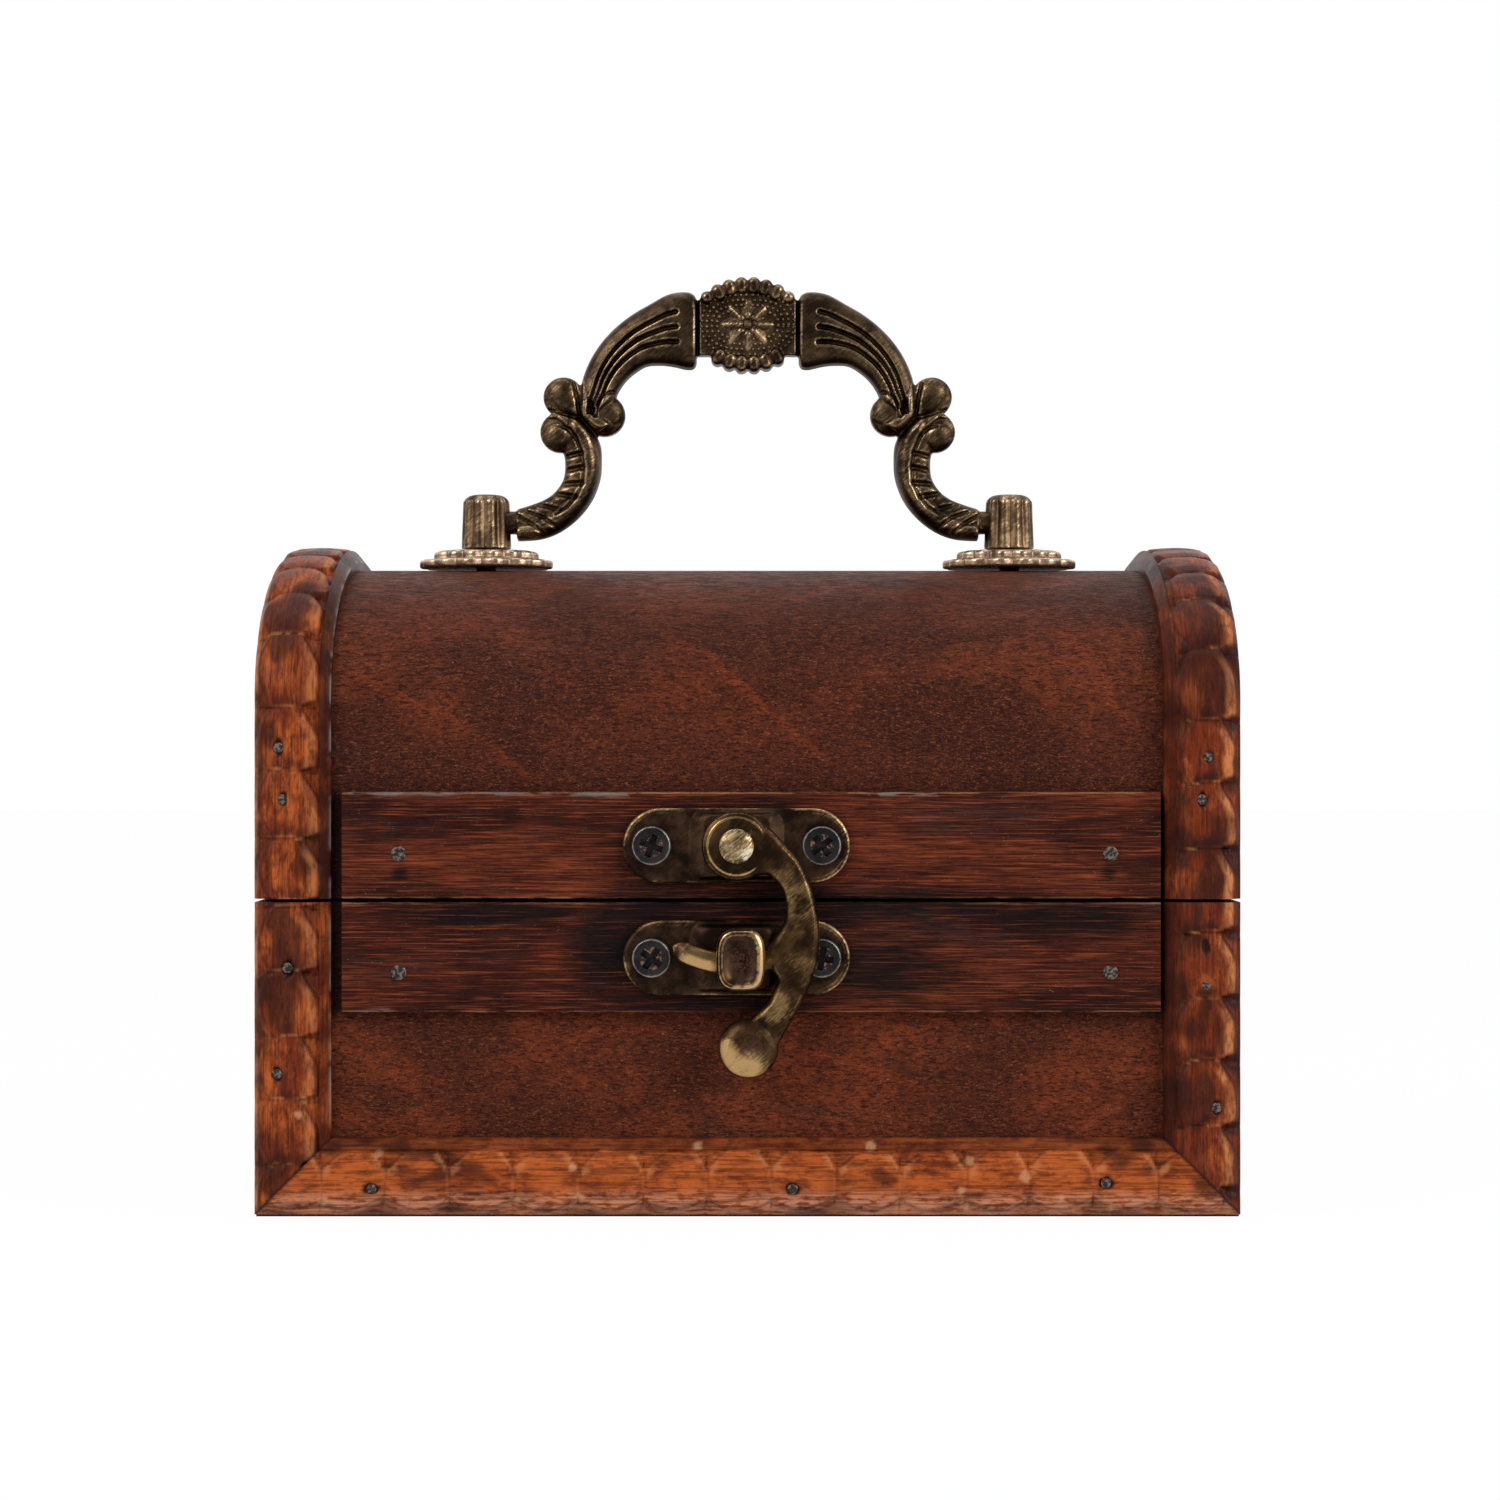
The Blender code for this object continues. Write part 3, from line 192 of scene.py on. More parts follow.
half_floor = FLOOR_SIZE / 2
_, floor_tree = add_stage("floor", [(x * half_floor, y * half_floor, 0.0)
                                    for x, y in ((-1, -1), (1, -1), (1, 1), (-1, 1))], ((0, 1, 2, 3),))
floor_shade = add_node(floor_tree, "ShaderNodeBsdfDiffuse", {"Color": FLOOR_GREY})[0]
add_node(floor_tree, "ShaderNodeOutputMaterial", {"Surface": white_to_the_eye(floor_shade, FLOOR_WHITE)})

card, card_tree = add_stage("dim card", [(side * ROOM_HALF_WIDTH, y, z) for side, y, z in (
    (-1, ROOM_FRONT, 0.0), (1, ROOM_FRONT, 0.0), (1, ROOM_FRONT, ROOM_HEIGHT), (-1, ROOM_FRONT, ROOM_HEIGHT),
    (1, ROOM_BACK, ROOM_HEIGHT), (-1, ROOM_BACK, ROOM_HEIGHT))], ((0, 1, 2, 3), (3, 2, 4, 5)))
card.visible_camera = False
card_glow = add_node(card_tree, "ShaderNodeEmission", {"Color": WHITE, "Strength": ROOM_GLOW})[0]
add_node(card_tree, "ShaderNodeOutputMaterial", {"Surface": card_glow})


# Boards: thin stained plywood for the bottom, front, back and the bent lid shell.
# The stain lies dark and mottled on the open pores, with amber flecks and smoky patches; where two coats
# overlap it ends in slanting edges that glow red on their lower side.
# Painted shade darkens the lid's front just above its batten and the boards beside the battens' ends.
BOARD_DARK = (0.033, 0.0095, 0.0068)
BOARD_PORE = (0.019, 0.0065, 0.005)
BOARD_MID = (0.112, 0.025, 0.011)
BOARD_AMBER = (0.23, 0.068, 0.024)
BOARD_SMOKE = (0.027, 0.0165, 0.017)
BOARD_RED = (0.23, 0.04, 0.011)
FIBRE_PALE = (0.33, 0.19, 0.125)
BASE_CAST = (1.26, 1.12, 0.92)
BOARD_SHEEN = 0.035
# Coat edges on the front: (x, z, slope down to the right in degrees, half length, strength)
COAT_EDGES = (
    (-0.0355, 0.0593, 28.6, 0.0175, 1.0), (0.0001, 0.0632, 40.0, 0.0158, 0.8), (0.0426, 0.0644, 56.0, 0.0085, 0.6),
    (0.0145, 0.0176, 17.0, 0.0115, 0.7), (-0.04, 0.019, 24.0, 0.008, 0.3))
SHELL_STEPS = 96
SHELL_COLUMNS = 24
SPRING_HEIGHT = 0.062
SHELL_WALL = 0.0025
# Colour of the painted shade on the boards beside the battens' ends
BATTEN_END_SHADE = (0.009, 0.0045, 0.004)
# Grain layers: size, detail, roughness, distortion, then where the mask starts and is full
GRAIN_LAYERS = {
    "Pores": (None, 3.0, 0.65, 0.6, 0.5, 0.66),
    "Mottle": ((420.0, 900.0, 900.0), 4.0, 0.68, 0.8, 0.36, 0.64),
    "Streaks": ((60.0, 900.0, 900.0), 3.0, 0.55, 0.0, 0.33, 0.68),
    "Clouds": ((52.0, 75.0, 75.0), 4.0, 0.6, 0.4, 0.36, 0.64),
    "Smoke": ((38.0, 95.0, 95.0), 5.0, 0.66, 0.6, 0.54, 0.7),
    "Flecks": ((1900.0, 4300.0, 4300.0), 3.0, 0.7, 1.4, 0.5, 0.7),
    "Fibres": ((1700.0, 4200.0, 4200.0), 1.0, 0.5, 2.4, 0.735, 0.8),
}


def new_tree(name, kind, inputs, outputs):
    """Start a node tree with named sockets, each with its kind."""
    tree = bpy.data.node_groups.new(name, f"{kind}NodeTree")
    for in_out, sockets in (("INPUT", inputs), ("OUTPUT", outputs)):
        for socket_name, socket_kind in sockets.items():
            tree.interface.new_socket(name=socket_name, in_out=in_out, socket_type=f"NodeSocket{socket_kind}")
    return tree, Outputs(tree.nodes.new("NodeGroupInput")), tree.nodes.new("NodeGroupOutput")


def stretched_noise(place, stretch, detail=3.0, roughness=0.55, distortion=0.0, turn=0.0):
    """Noise whose features are 1/stretch metres long on each axis, or on all of them."""
    stretch = (stretch,) * 3 if isinstance(stretch, float) else stretch
    turned_place = add_node(place.tree, "ShaderNodeMapping", {"Vector": place, "Rotation": (0.0, turn, 0.0)})[0]
    placed = add_node(place.tree, "ShaderNodeVectorMath", {0: turned_place, 1: stretch}, operation="MULTIPLY")[0]
    return add_node(place.tree, "ShaderNodeTexNoise", {"Vector": placed, "Scale": 1.0, "Detail": detail,
                                                       "Roughness": roughness, "Distortion": distortion})["Fac"]


def between(value, low, high, to_low=0.0, to_high=1.0):
    """Map a range of values, clamped, with a soft start and end."""
    return add_node(value.tree, "ShaderNodeMapRange",
                    {"Value": value, "From Min": low, "From Max": high, "To Min": to_low, "To Max": to_high},
                    interpolation_type="SMOOTHSTEP")[0]


def blend(factor, first, second, how="MIX"):
    """Blend one colour into another by a mask."""
    return add_node(factor.tree, "ShaderNodeMix", {"Factor": factor, 6: first, 7: second},
                    data_type="RGBA", blend_type=how)[2]


def coated(colour, *coats):
    """Lay coats over a colour, each by a share of its mask."""
    for mask, share, coat in coats:
        colour = blend(mask * share, colour, coat)
    return colour


def axes_of(place):
    return add_node(place.tree, "ShaderNodeSeparateXYZ", {0: place})


def make_grain_group():
    """Wood grain along X: open pores, fibre mottle, streaks, cloudy stain, smoky patches, flecks and fibres."""
    group, given, result = new_tree(
        "wood grain", "Shader", {"Vector": "Vector", "Pore Length": "Float", "Pore Width": "Float"},
        dict.fromkeys(GRAIN_LAYERS, "Float"))
    pore_size = add_node(group, "ShaderNodeCombineXYZ",
                         {0: given["Pore Length"], 1: given["Pore Width"], 2: given["Pore Width"]})[0]
    for name, (size, detail, roughness, distortion, low, high) in GRAIN_LAYERS.items():
        layer = stretched_noise(given["Vector"], size or pore_size, detail, roughness, distortion)
        feed(result, {name: between(layer, low, high)})
    return group


grain_group = make_grain_group()


def wood_grain(place, pore_length=1100.0, pore_width=3900.0):
    """The grain group's masks at a place."""
    return add_node(place.tree, "ShaderNodeGroup", {"Vector": place, "Pore Length": pore_length,
                                                    "Pore Width": pore_width}, node_tree=grain_group)


def new_material(name, metallic=0.0, sheen=0.5):
    """An empty material, and its Object coordinates."""
    material = bpy.data.materials.new(name)
    material.use_nodes = True
    feed(material.node_tree.nodes["Principled BSDF"], {"Metallic": metallic, "Specular IOR Level": sheen})
    return material, add_node(material.node_tree, "ShaderNodeTexCoord")["Object"]


def finished(material, colour, roughness, height, distance, strength):
    """Feed a material's colour, roughness and relief to its shader."""
    normal = add_node(height.tree, "ShaderNodeBump", {"Height": height, "Distance": distance, "Strength": strength})[0]
    feed(material.node_tree.nodes["Principled BSDF"], {"Base Color": colour, "Roughness": roughness, "Normal": normal})
    return material


def make_coat_group():
    """The slanting edges where two coats of stain overlap: a glowing line and the redder field below it."""
    group, given, result = new_tree("stain coats", "Shader", {"Vector": "Vector"}, {"Line": "Float", "Field": "Float"})
    place = given["Vector"]
    wander = stretched_noise(place, 90.0, 2.0)
    ragged = stretched_noise(place, 700.0)
    patchy = stretched_noise(place, 150.0)
    front = between(axes_of(place)[1], 0.004, -0.002)
    shift = (wander - 0.5) * 0.0052 + (ragged - 0.5) * 0.0011
    line, field = 0.0, 0.0
    for x, z, slope, half_length, strength in COAT_EDGES:
        local = add_node(group, "ShaderNodeMapping", {"Vector": place, "Location": (x, 0.0, z),
                                                      "Rotation": (0.0, math.radians(slope), 0.0)},
                         vector_type="TEXTURE")[0]
        axes = axes_of(local)
        above = axes[2] + shift
        kept = between(abs(axes[0]), half_length, half_length * 0.55) * strength
        kept = kept * between(above, 0.0003, -0.00005)
        glow = kept * between(above, -0.0014, -0.0002) * between(patchy, 0.34, 0.62, 0.25, 1.0)
        line = maths("MAXIMUM", line, glow)
        field = maths("MAXIMUM", field, kept * between(above, -0.011, -0.001))
    feed(result, {"Line": line * front, "Field": field * front})
    return group


coat_group = make_coat_group()


def make_board_material():
    material, place = new_material("stained board", sheen=BOARD_SHEEN)
    grain = wood_grain(place)
    coats = add_node(place.tree, "ShaderNodeGroup", {"Vector": place}, node_tree=coat_group)
    axes = axes_of(place)
    across, height = abs(axes[0]), axes[2]
    # Painted shade: a band of the lid's front just above its batten is mixed towards the dark colour.
    shade_above_batten = between(height, 0.066, 0.051) * between(height, 0.038, 0.044)
    # Painted shade on the boards beside the battens' ends, in the recess between strips and battens.
    shade_beside_battens = (between(across, 0.0472, 0.048) * between(across, 0.052, 0.0508)
              * between(height, 0.052, 0.05) * between(height, 0.023, 0.0252))
    colour = blend(between(grain["Clouds"], 0.0, 1.0, 0.16, 0.98), BOARD_DARK, BOARD_MID)
    colour = coated(colour, (coats["Field"], 0.16, BOARD_RED), (grain["Smoke"], 0.56, BOARD_SMOKE),
                    (shade_above_batten, 0.74, BOARD_DARK))
    colour = blend(between(height, 0.044, 0.038), colour, BASE_CAST, "MULTIPLY")
    colour = coated(colour, (grain["Mottle"], 0.62, BOARD_DARK), (coats["Line"], 0.36, BOARD_RED),
                    (grain["Flecks"], 0.72, BOARD_AMBER), (grain["Pores"], 0.86, BOARD_PORE),
                    (grain["Fibres"], 0.75, FIBRE_PALE), (shade_beside_battens, 0.8, BATTEN_END_SHADE))
    return finished(material, colour, between(grain["Mottle"], 0.0, 1.0, 0.4, 0.54),
                    (grain["Pores"] + grain["Mottle"]) * -1.0, 0.00007, 0.9)


def dress(material, *names):
    """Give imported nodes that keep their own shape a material."""
    for name in names:
        slots = frame["nodes"][name].data.materials
        slots.clear()
        slots.append(material)


board_material = make_board_material()
dress(board_material, "base_bottom", "base_front_panel", "base_back_panel")


def add_form(name, shape):
    """Turn a bmesh into an object, with its faces out."""
    bmesh.ops.recalc_face_normals(shape, faces=shape.faces[:])
    mesh = bpy.data.meshes.new(name)
    shape.to_mesh(mesh)
    shape.free()
    return add_object(name, mesh)


def smoothed(thing, sharp_angle):
    """Shade an object smooth, except over edges sharper than an angle."""
    thing.data.shade_smooth()
    thing.data.set_sharp_from_angle(angle=math.radians(sharp_angle))
    return thing


def settle(piece, body, replaced, material=None):
    """Let a finished piece ride on its body and stand for the nodes it replaces."""
    if material:
        piece.data.materials.append(material)
    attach(piece, body)
    if replaced:
        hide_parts(*replaced)


def loft(shape, rings):
    """Skin a row of rings and cap both ends."""
    rows = [[shape.verts.new(point) for point in ring] for ring in rings]
    count = len(rows[0])
    for lower, upper in zip(rows, rows[1:]):
        for index in range(count):
            following = (index + 1) % count
            shape.faces.new((lower[index], lower[following], upper[following], upper[index]))
    shape.faces.new(rows[0])
    shape.faces.new(rows[-1])
    return rows


def arch_point(half_depth, crest, turn):
    """A point on the lid's arch, by its turn from the front."""
    return -half_depth * math.cos(turn), SPRING_HEIGHT + (crest - SPRING_HEIGHT) * math.sin(turn)


def arch_row(half_depth, crest, foot):
    """Points of the lid's outline, front foot to back foot."""
    turns = [math.pi * step / SHELL_STEPS for step in range(SHELL_STEPS + 1)]
    return [(-half_depth, foot), *(arch_point(half_depth, crest, turn) for turn in turns), (half_depth, foot)]


shell_low, shell_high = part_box("lid_shell")
shell_shape = bmesh.new()
shell_section = arch_row(shell_high[1], shell_high[2], shell_low[2])
shell_section += arch_row(shell_high[1] - SHELL_WALL, shell_high[2] - SHELL_WALL, shell_low[2])[::-1]
loft(shell_shape, [[(x, y, z) for y, z in shell_section]
                   for x in np.linspace(shell_low[0], shell_high[0], SHELL_COLUMNS + 1)])
settle(smoothed(add_form("lid_shell_bent", shell_shape), 30.0), "lid", ("lid_shell",), board_material)


# End boards: solid softwood ends, stained like the boards, with broad flat grain along the depth.
# They stand between the front and back boards, which are nailed over their edges.
END_DARK = (0.042, 0.011, 0.0068)
END_LIGHT = (0.115, 0.027, 0.0125)


def make_end_material():
    material, place = new_material("end board", sheen=BOARD_SHEEN)
    turned_place = add_node(place.tree, "ShaderNodeMapping",
                            {"Vector": place, "Rotation": (0.0, 0.0, math.radians(90.0))})[0]
    grain = wood_grain(turned_place)
    broad = stretched_noise(turned_place, (10.0, 170.0, 170.0), 2.0, distortion=0.8)
    colour = blend(between(broad, 0.35, 0.65), END_DARK, END_LIGHT)
    colour = coated(colour, (grain["Streaks"], 0.5, END_DARK), (grain["Pores"], 0.5, END_DARK))
    return finished(material, colour, 0.5, grain["Pores"] * -1.0, 0.00008, 0.8)


end_material = make_end_material()
dress(end_material, "base_end_left", "base_end_right", "lid_end_left", "lid_end_right")


# Carved strips: softwood mouldings with a row of rolled pads, soft creases between them and crescent
# scallops along both edges, then a plain inner bevel. They frame the base and follow the lid's arch.
# Painted light in their colour: highlights and floor light on the pads, lit and shaded edges, shade in the hollows.
STRIP_WIDTH = 0.0091
STRIP_THICKNESS = 0.0028
STRIP_SEAT = 0.0002
# The strip's back, sunk into its bed of glue, as a share of its thickness
STRIP_SUNK = -0.13
CARVE_PITCH = 0.0077
CARVE_STEP = 0.0003
CREASE_DEPTH = 0.00024
SCALLOP_DEPTH = 0.00078
PIT_DEPTH = 0.00045
SEAM_REACH = 0.00032
SECTION_POINTS = 48
# Height of the uncarved strip across its width, outer edge to inner edge, as shares of both
STRIP_FACE_SHARES = (
    (0.0, 0.6), (0.03, 0.74), (0.07, 0.84), (0.13, 0.91), (0.2, 0.955), (0.3, 0.985), (0.42, 1.0), (0.55, 0.99),
    (0.66, 0.97), (0.76, 0.94), (0.855, 0.9), (0.875, 0.84), (1.0, 0.34))
# Pale colour of the painted highlights and the rubbed wear on the pads
TRIM_RUB_AND_HIGHLIGHT = (0.5, 0.19, 0.07)
TRIM_PALE = (0.39, 0.088, 0.019)
TRIM_MID = (0.135, 0.023, 0.007)
TRIM_DARK = (0.025, 0.0068, 0.005)
# Pale colour of the rails' foot: painted floor light with some wear
TRIM_FOOT_LIGHT_AND_WEAR = (0.47, 0.23, 0.143)
TRIM_GLUE = (0.3, 0.245, 0.22)
TRIM_SPECK = (0.5, 0.27, 0.135)
PIT_DARK = (0.01, 0.005, 0.0035)
ARCH_STEPS = 800
RAIL_TONE = 0.85
# How each strip was worn and painted with light: its big scallops on the outer side or not, its rolls turned over
# or not, pale glints (painted highlights) only by the creases or not, then the shares of pale crescents (painted
# highlights and wear), an edge rubbed and painted lit, an edge in painted shade, a dark bevel (stain and painted
# shade), a pale foot (painted floor light and wear) and a glue line
WEAR_AND_LIGHT_NAMES = ("Lean", "Turned", "Glint", "Crescent", "Edge Rub", "Edge Stain", "Bevel", "Foot Wear", "Glue")
LEFT_WEAR_AND_LIGHT = dict(zip(WEAR_AND_LIGHT_NAMES, (0.0, 1.0, 0.0, 0.42, 0.75, 0.0, 0.45, 0.0, 1.0)))
RIGHT_WEAR_AND_LIGHT = dict(zip(WEAR_AND_LIGHT_NAMES, (1.0, 1.0, 0.0, 0.88, 0.0, 0.85, 0.65, 0.0, 0.0)))
RAIL_WEAR_AND_LIGHT = dict(zip(WEAR_AND_LIGHT_NAMES, (0.0, 0.0, 1.0, 0.5, 0.6, 0.0, 0.62, 1.0, 0.0)))


def finish_tree(result, geometry, material):
    """End a Geometry Nodes tree with real geometry in its material."""
    real = add_node(result.id_data, "GeometryNodeRealizeInstances", {"Geometry": geometry})[0]
    dressed = add_node(result.id_data, "GeometryNodeSetMaterial", {"Geometry": real, "Material": material})[0]
    feed(result, {"Geometry": dressed})
    return result.id_data


def stored(tree, name, kind="FLOAT"):
    return add_node(tree, "GeometryNodeInputNamedAttribute", {"Name": name}, data_type=kind)[0]


def swapped(value, top, switch):
    """A value itself, or the rest of it up to a top where the switch is 1."""
    return value * (1.0 - switch * 2.0) + switch * top


def make_carving_tree():
    """Geometry Nodes: roll creases and edge scallops into a plain strip, and mark its stain, wear and painted light."""
    numbers = dict.fromkeys(("Pitch", "Crease Depth", "Scallop Depth", "Pit Depth", "Offset", *WEAR_AND_LIGHT_NAMES), "Float")
    tree, given, result = new_tree("carved strip", "Geometry", {"Geometry": "Geometry", **numbers,
                                                                "Material": "Material"}, {"Geometry": "Geometry"})
    place = add_node(tree, "GeometryNodeInputPosition")[0]
    across, height = stored(tree, "across"), stored(tree, "height")
    wander = add_node(tree, "ShaderNodeTexNoise", {"Vector": place, "Scale": 120.0, "Detail": 1.0})["Fac"]
    ripple = add_node(tree, "ShaderNodeTexNoise", {"Vector": place, "Scale": 420.0, "Detail": 2.0})["Fac"]
    glinting = given["Glint"]
    phase = (stored(tree, "along") / given["Pitch"] + given["Offset"] + (across - 0.42) ** 2.0 * 0.35
             + wander * 0.16 + ripple * 0.05)
    share = maths("FRACT", phase)
    near = maths("MINIMUM", share, 1.0 - share)
    share = swapped(share, 1.0, given["Turned"])
    leaf = swapped(across, 0.9, given["Lean"])
    unsteady = between(wander, 0.25, 0.75, -0.03, 0.03)
    bulge = (between(share, 0.0, 0.48) * between(share, 1.0, 0.86)) ** 0.75
    inside = bulge * 0.21 + 0.615 + unsteady - leaf
    far_edge = maths("SINE", share * math.pi) ** 0.7 * -0.16 + 0.25 + unsteady
    drop_leaf = between(inside, 0.005, -0.055)
    drop_far = between(far_edge - leaf, -0.01, 0.09)
    crease = between(near, 0.045, 0.0)
    on_face = between(across, 0.87, 0.845)
    depth = ((drop_leaf * 0.85 + drop_far * 0.7) * given["Scallop Depth"] + crease * given["Crease Depth"]
             + between(near, 0.3, 0.0) * given["Crease Depth"] * 0.9 + ripple * given["Crease Depth"] * 0.5)
    depth = depth * on_face * height + stored(tree, "pit") * given["Pit Depth"]
    shift = add_node(tree, "ShaderNodeVectorMath", {0: stored(tree, "outward", "FLOAT_VECTOR"),
                                                    "Scale": depth * -1.0}, operation="SCALE")[0]
    carved = add_node(tree, "GeometryNodeSetPosition", {"Geometry": given["Geometry"], "Offset": shift})[0]
    wide_band = between(inside, -0.01, 0.03) * between(inside, 0.17, 0.07) * on_face
    whole = between(share, 0.06, 0.3) * between(share, 0.96, 0.84)
    by_crease = between(near, 0.24, 0.14) * between(near, 0.02, 0.06)
    glint = whole * (1.0 - glinting) + by_crease * glinting
    crease_rim = (between(share, 0.955, 0.985) * between(leaf, 0.1, 0.16) * between(leaf, 0.66, 0.6)
                  * between(ripple, 0.42, 0.56) * (0.75 - glinting * 0.5))
    at_edge = between(across, 0.06, 0.025)
    outline = between(inside, 0.0, -0.018) * between(inside, -0.055, -0.035) * (0.7 - glinting * 0.5)
    corner_dark = drop_leaf * between(near, 0.22, 0.08) * given["Lean"]
    uneven_leaf = leaf + between(ripple, 0.35, 0.65, -0.09, 0.09)
    crease_dark = (between(share, 0.76, 0.92) * between(share, 0.97, 0.94) * between(uneven_leaf, 0.28, 0.35)
                   * between(uneven_leaf, 0.62, 0.55) * (given["Lean"] * 0.45 + 0.55)
                   * (between(wander, 0.3, 0.36) - glinting * 0.55))
    far_dark = drop_far * between(wander, 0.4, 0.58) * 0.7
    far_line = between(abs(far_edge - leaf), 0.035, 0.01) * 0.55
    marks = {
        # Stain on the bevel and in blotches, with painted shade in the creases, scallop hollows, inner foot and shaded
        # edge
        "stain": maths("MAXIMUM", between(across, 0.835, 0.875) * given["Bevel"], between(across, 0.92, 1.0) * 0.62,
                       outline * on_face, corner_dark * on_face, crease_dark, far_dark * on_face,
                       far_line * on_face, crease * on_face * (0.4 - glinting * 0.28),
                       at_edge * given["Edge Stain"]),
        # Painted highlights on the crescents, crease rims and glints, with some wear, and painted light on the lit edge
        "rub": maths("MAXIMUM", wide_band * glint * given["Crescent"], crease_rim, at_edge * given["Edge Rub"]),
        # Painted floor light, with some wear, on the rails' foot
        "foot": between(across, 0.4, 0.16) * given["Foot Wear"],
        "glue": between(across, 0.972, 0.995) * between(height, 0.28, 0.33) * given["Glue"],
    }
    for name, value in marks.items():
        carved = add_node(tree, "GeometryNodeStoreNamedAttribute", {"Geometry": carved, "Name": name, "Value": value},
                          data_type="FLOAT", domain="POINT")[0]
    return finish_tree(result, carved, given["Material"])


def applied(thing):
    """Keep the shape that an object's modifiers give it as its plain mesh."""
    thing.update_tag()
    bpy.context.view_layer.update()
    mesh = bpy.data.meshes.new_from_object(thing.evaluated_get(bpy.context.evaluated_depsgraph_get()))
    thing.modifiers.clear()
    thing.data = mesh
    return thing


def run_tree(thing, tree, values):
    """Shape an object by a Geometry Nodes tree with its named inputs set."""
    modifier = thing.modifiers.new("shaping", "NODES")
    modifier.node_group = tree
    for item in tree.interface.items_tree:
        if item.in_out == "INPUT" and item.name in values:
            modifier[item.identifier] = values[item.name]
    return applied(thing)


def mark(place, name, output="Fac"):
    """A mark stored on the mesh, read beside a material's place."""
    return add_node(place.tree, "ShaderNodeAttribute", attribute_name=name)[output]


def make_trim_material():
    material, place = new_material("carved strip", sheen=0.055)
    place = mark(place, "strip_place", "Vector")
    cloud = stretched_noise(place, (190.0, 340.0, 1.0), 6.0, 0.72)
    grain = stretched_noise(place, (160.0, 3600.0, 1.0), 2.0, 0.6)
    fleck = stretched_noise(place, (700.0, 2300.0, 1.0), 2.0)
    smear = stretched_noise(place, (170.0, 0.0, 1.0))
    tone = mark(place, "tone") - 0.5
    uneven = cloud + tone * 0.3
    pool = stretched_noise(place, (95.0, 150.0, 1.0), 2.0) - tone * 0.22 + (cloud - 0.5) * 0.4
    # The pale foot is painted floor light with some wear.
    worn = mark(place, "foot") * between(fleck, 0.62, 0.42, 0.25, 1.0)
    # Painted highlights with some rubbed wear
    rubbed_and_highlit = mark(place, "rub") * between(uneven, 0.34, 0.54, 0.35, 1.0) * between(fleck, 0.66, 0.46, 0.45, 1.0)
    # Stain with painted shade in the creases, hollows, inner foot and shaded edge
    stained_and_shaded = mark(place, "stain") * between(cloud, 0.7, 0.4, 0.75, 1.0)
    colour = coated(blend(between(uneven, 0.4, 0.66), TRIM_MID, TRIM_PALE), (worn, 0.72, TRIM_FOOT_LIGHT_AND_WEAR),
                    (between(pool, 0.5, 0.62), 0.78, TRIM_DARK), (between(fleck, 0.5, 0.66), 0.44, TRIM_DARK),
                    (between(grain, 0.45, 0.62), 0.5, TRIM_DARK), (rubbed_and_highlit, 0.88, TRIM_RUB_AND_HIGHLIGHT),
                    (stained_and_shaded, 0.92, TRIM_DARK), (mark(place, "seam"), 0.9, TRIM_DARK),
                    (mark(place, "speck"), 0.55, TRIM_SPECK),
                    (between(smear, 0.44, 0.56) * mark(place, "glue"), 0.7, TRIM_GLUE),
                    (mark(place, "pit"), 0.92, PIT_DARK))
    return finished(material, colour, between(cloud, 0.3, 0.7, 0.28, 0.46), grain * 0.4 + fleck, 0.0001, 0.8)


trim_material = make_trim_material()
carving_tree = make_carving_tree()
# Brad pits in the front strips: (x, z, half width, half height) on the front face
PIT_PLACES = (
    (-0.056, 0.0563, 0.0006, 0.0011), (-0.0555, 0.0501, 0.0005, 0.001), (-0.0549, 0.03, 0.0006, 0.0013),
    (-0.0562, 0.0173, 0.0006, 0.0009), (-0.0449, 0.0036, 0.0011, 0.0007), (0.0054, 0.0036, 0.001, 0.0007),
    (0.0428, 0.0043, 0.0009, 0.0007), (0.055, 0.0552, 0.0006, 0.0007), (0.0543, 0.0501, 0.0005, 0.0011),
    (0.0548, 0.0325, 0.0005, 0.0012), (0.056, 0.0133, 0.0006, 0.0009))
# Pale specks where the stain missed the wood: (x, z, radius)
SPECK_PLACES = (
    (-0.0507, 0.0022, 0.0007), (-0.0209, 0.0062, 0.0005), (-0.02, 0.0026, 0.0006), (-0.0275, 0.0023, 0.0004),
    (-0.006, 0.0086, 0.0006), (0.0147, 0.0086, 0.0006), (0.0265, 0.0069, 0.0006), (0.0255, 0.0034, 0.0005),
    (0.026, 0.0014, 0.0005), (0.0331, 0.0051, 0.0007), (0.0374, 0.0026, 0.0004), (0.0434, 0.0012, 0.0004),
    (-0.0536, 0.0124, 0.0005), (-0.053, 0.0142, 0.0004), (0.0495, 0.025, 0.0003), (-0.044, 0.0078, 0.0005))
NUMBER_LAYERS = ("along", "across", "height", "pit", "speck", "tone", "seam")
VECTOR_LAYERS = ("outward", "strip_place")


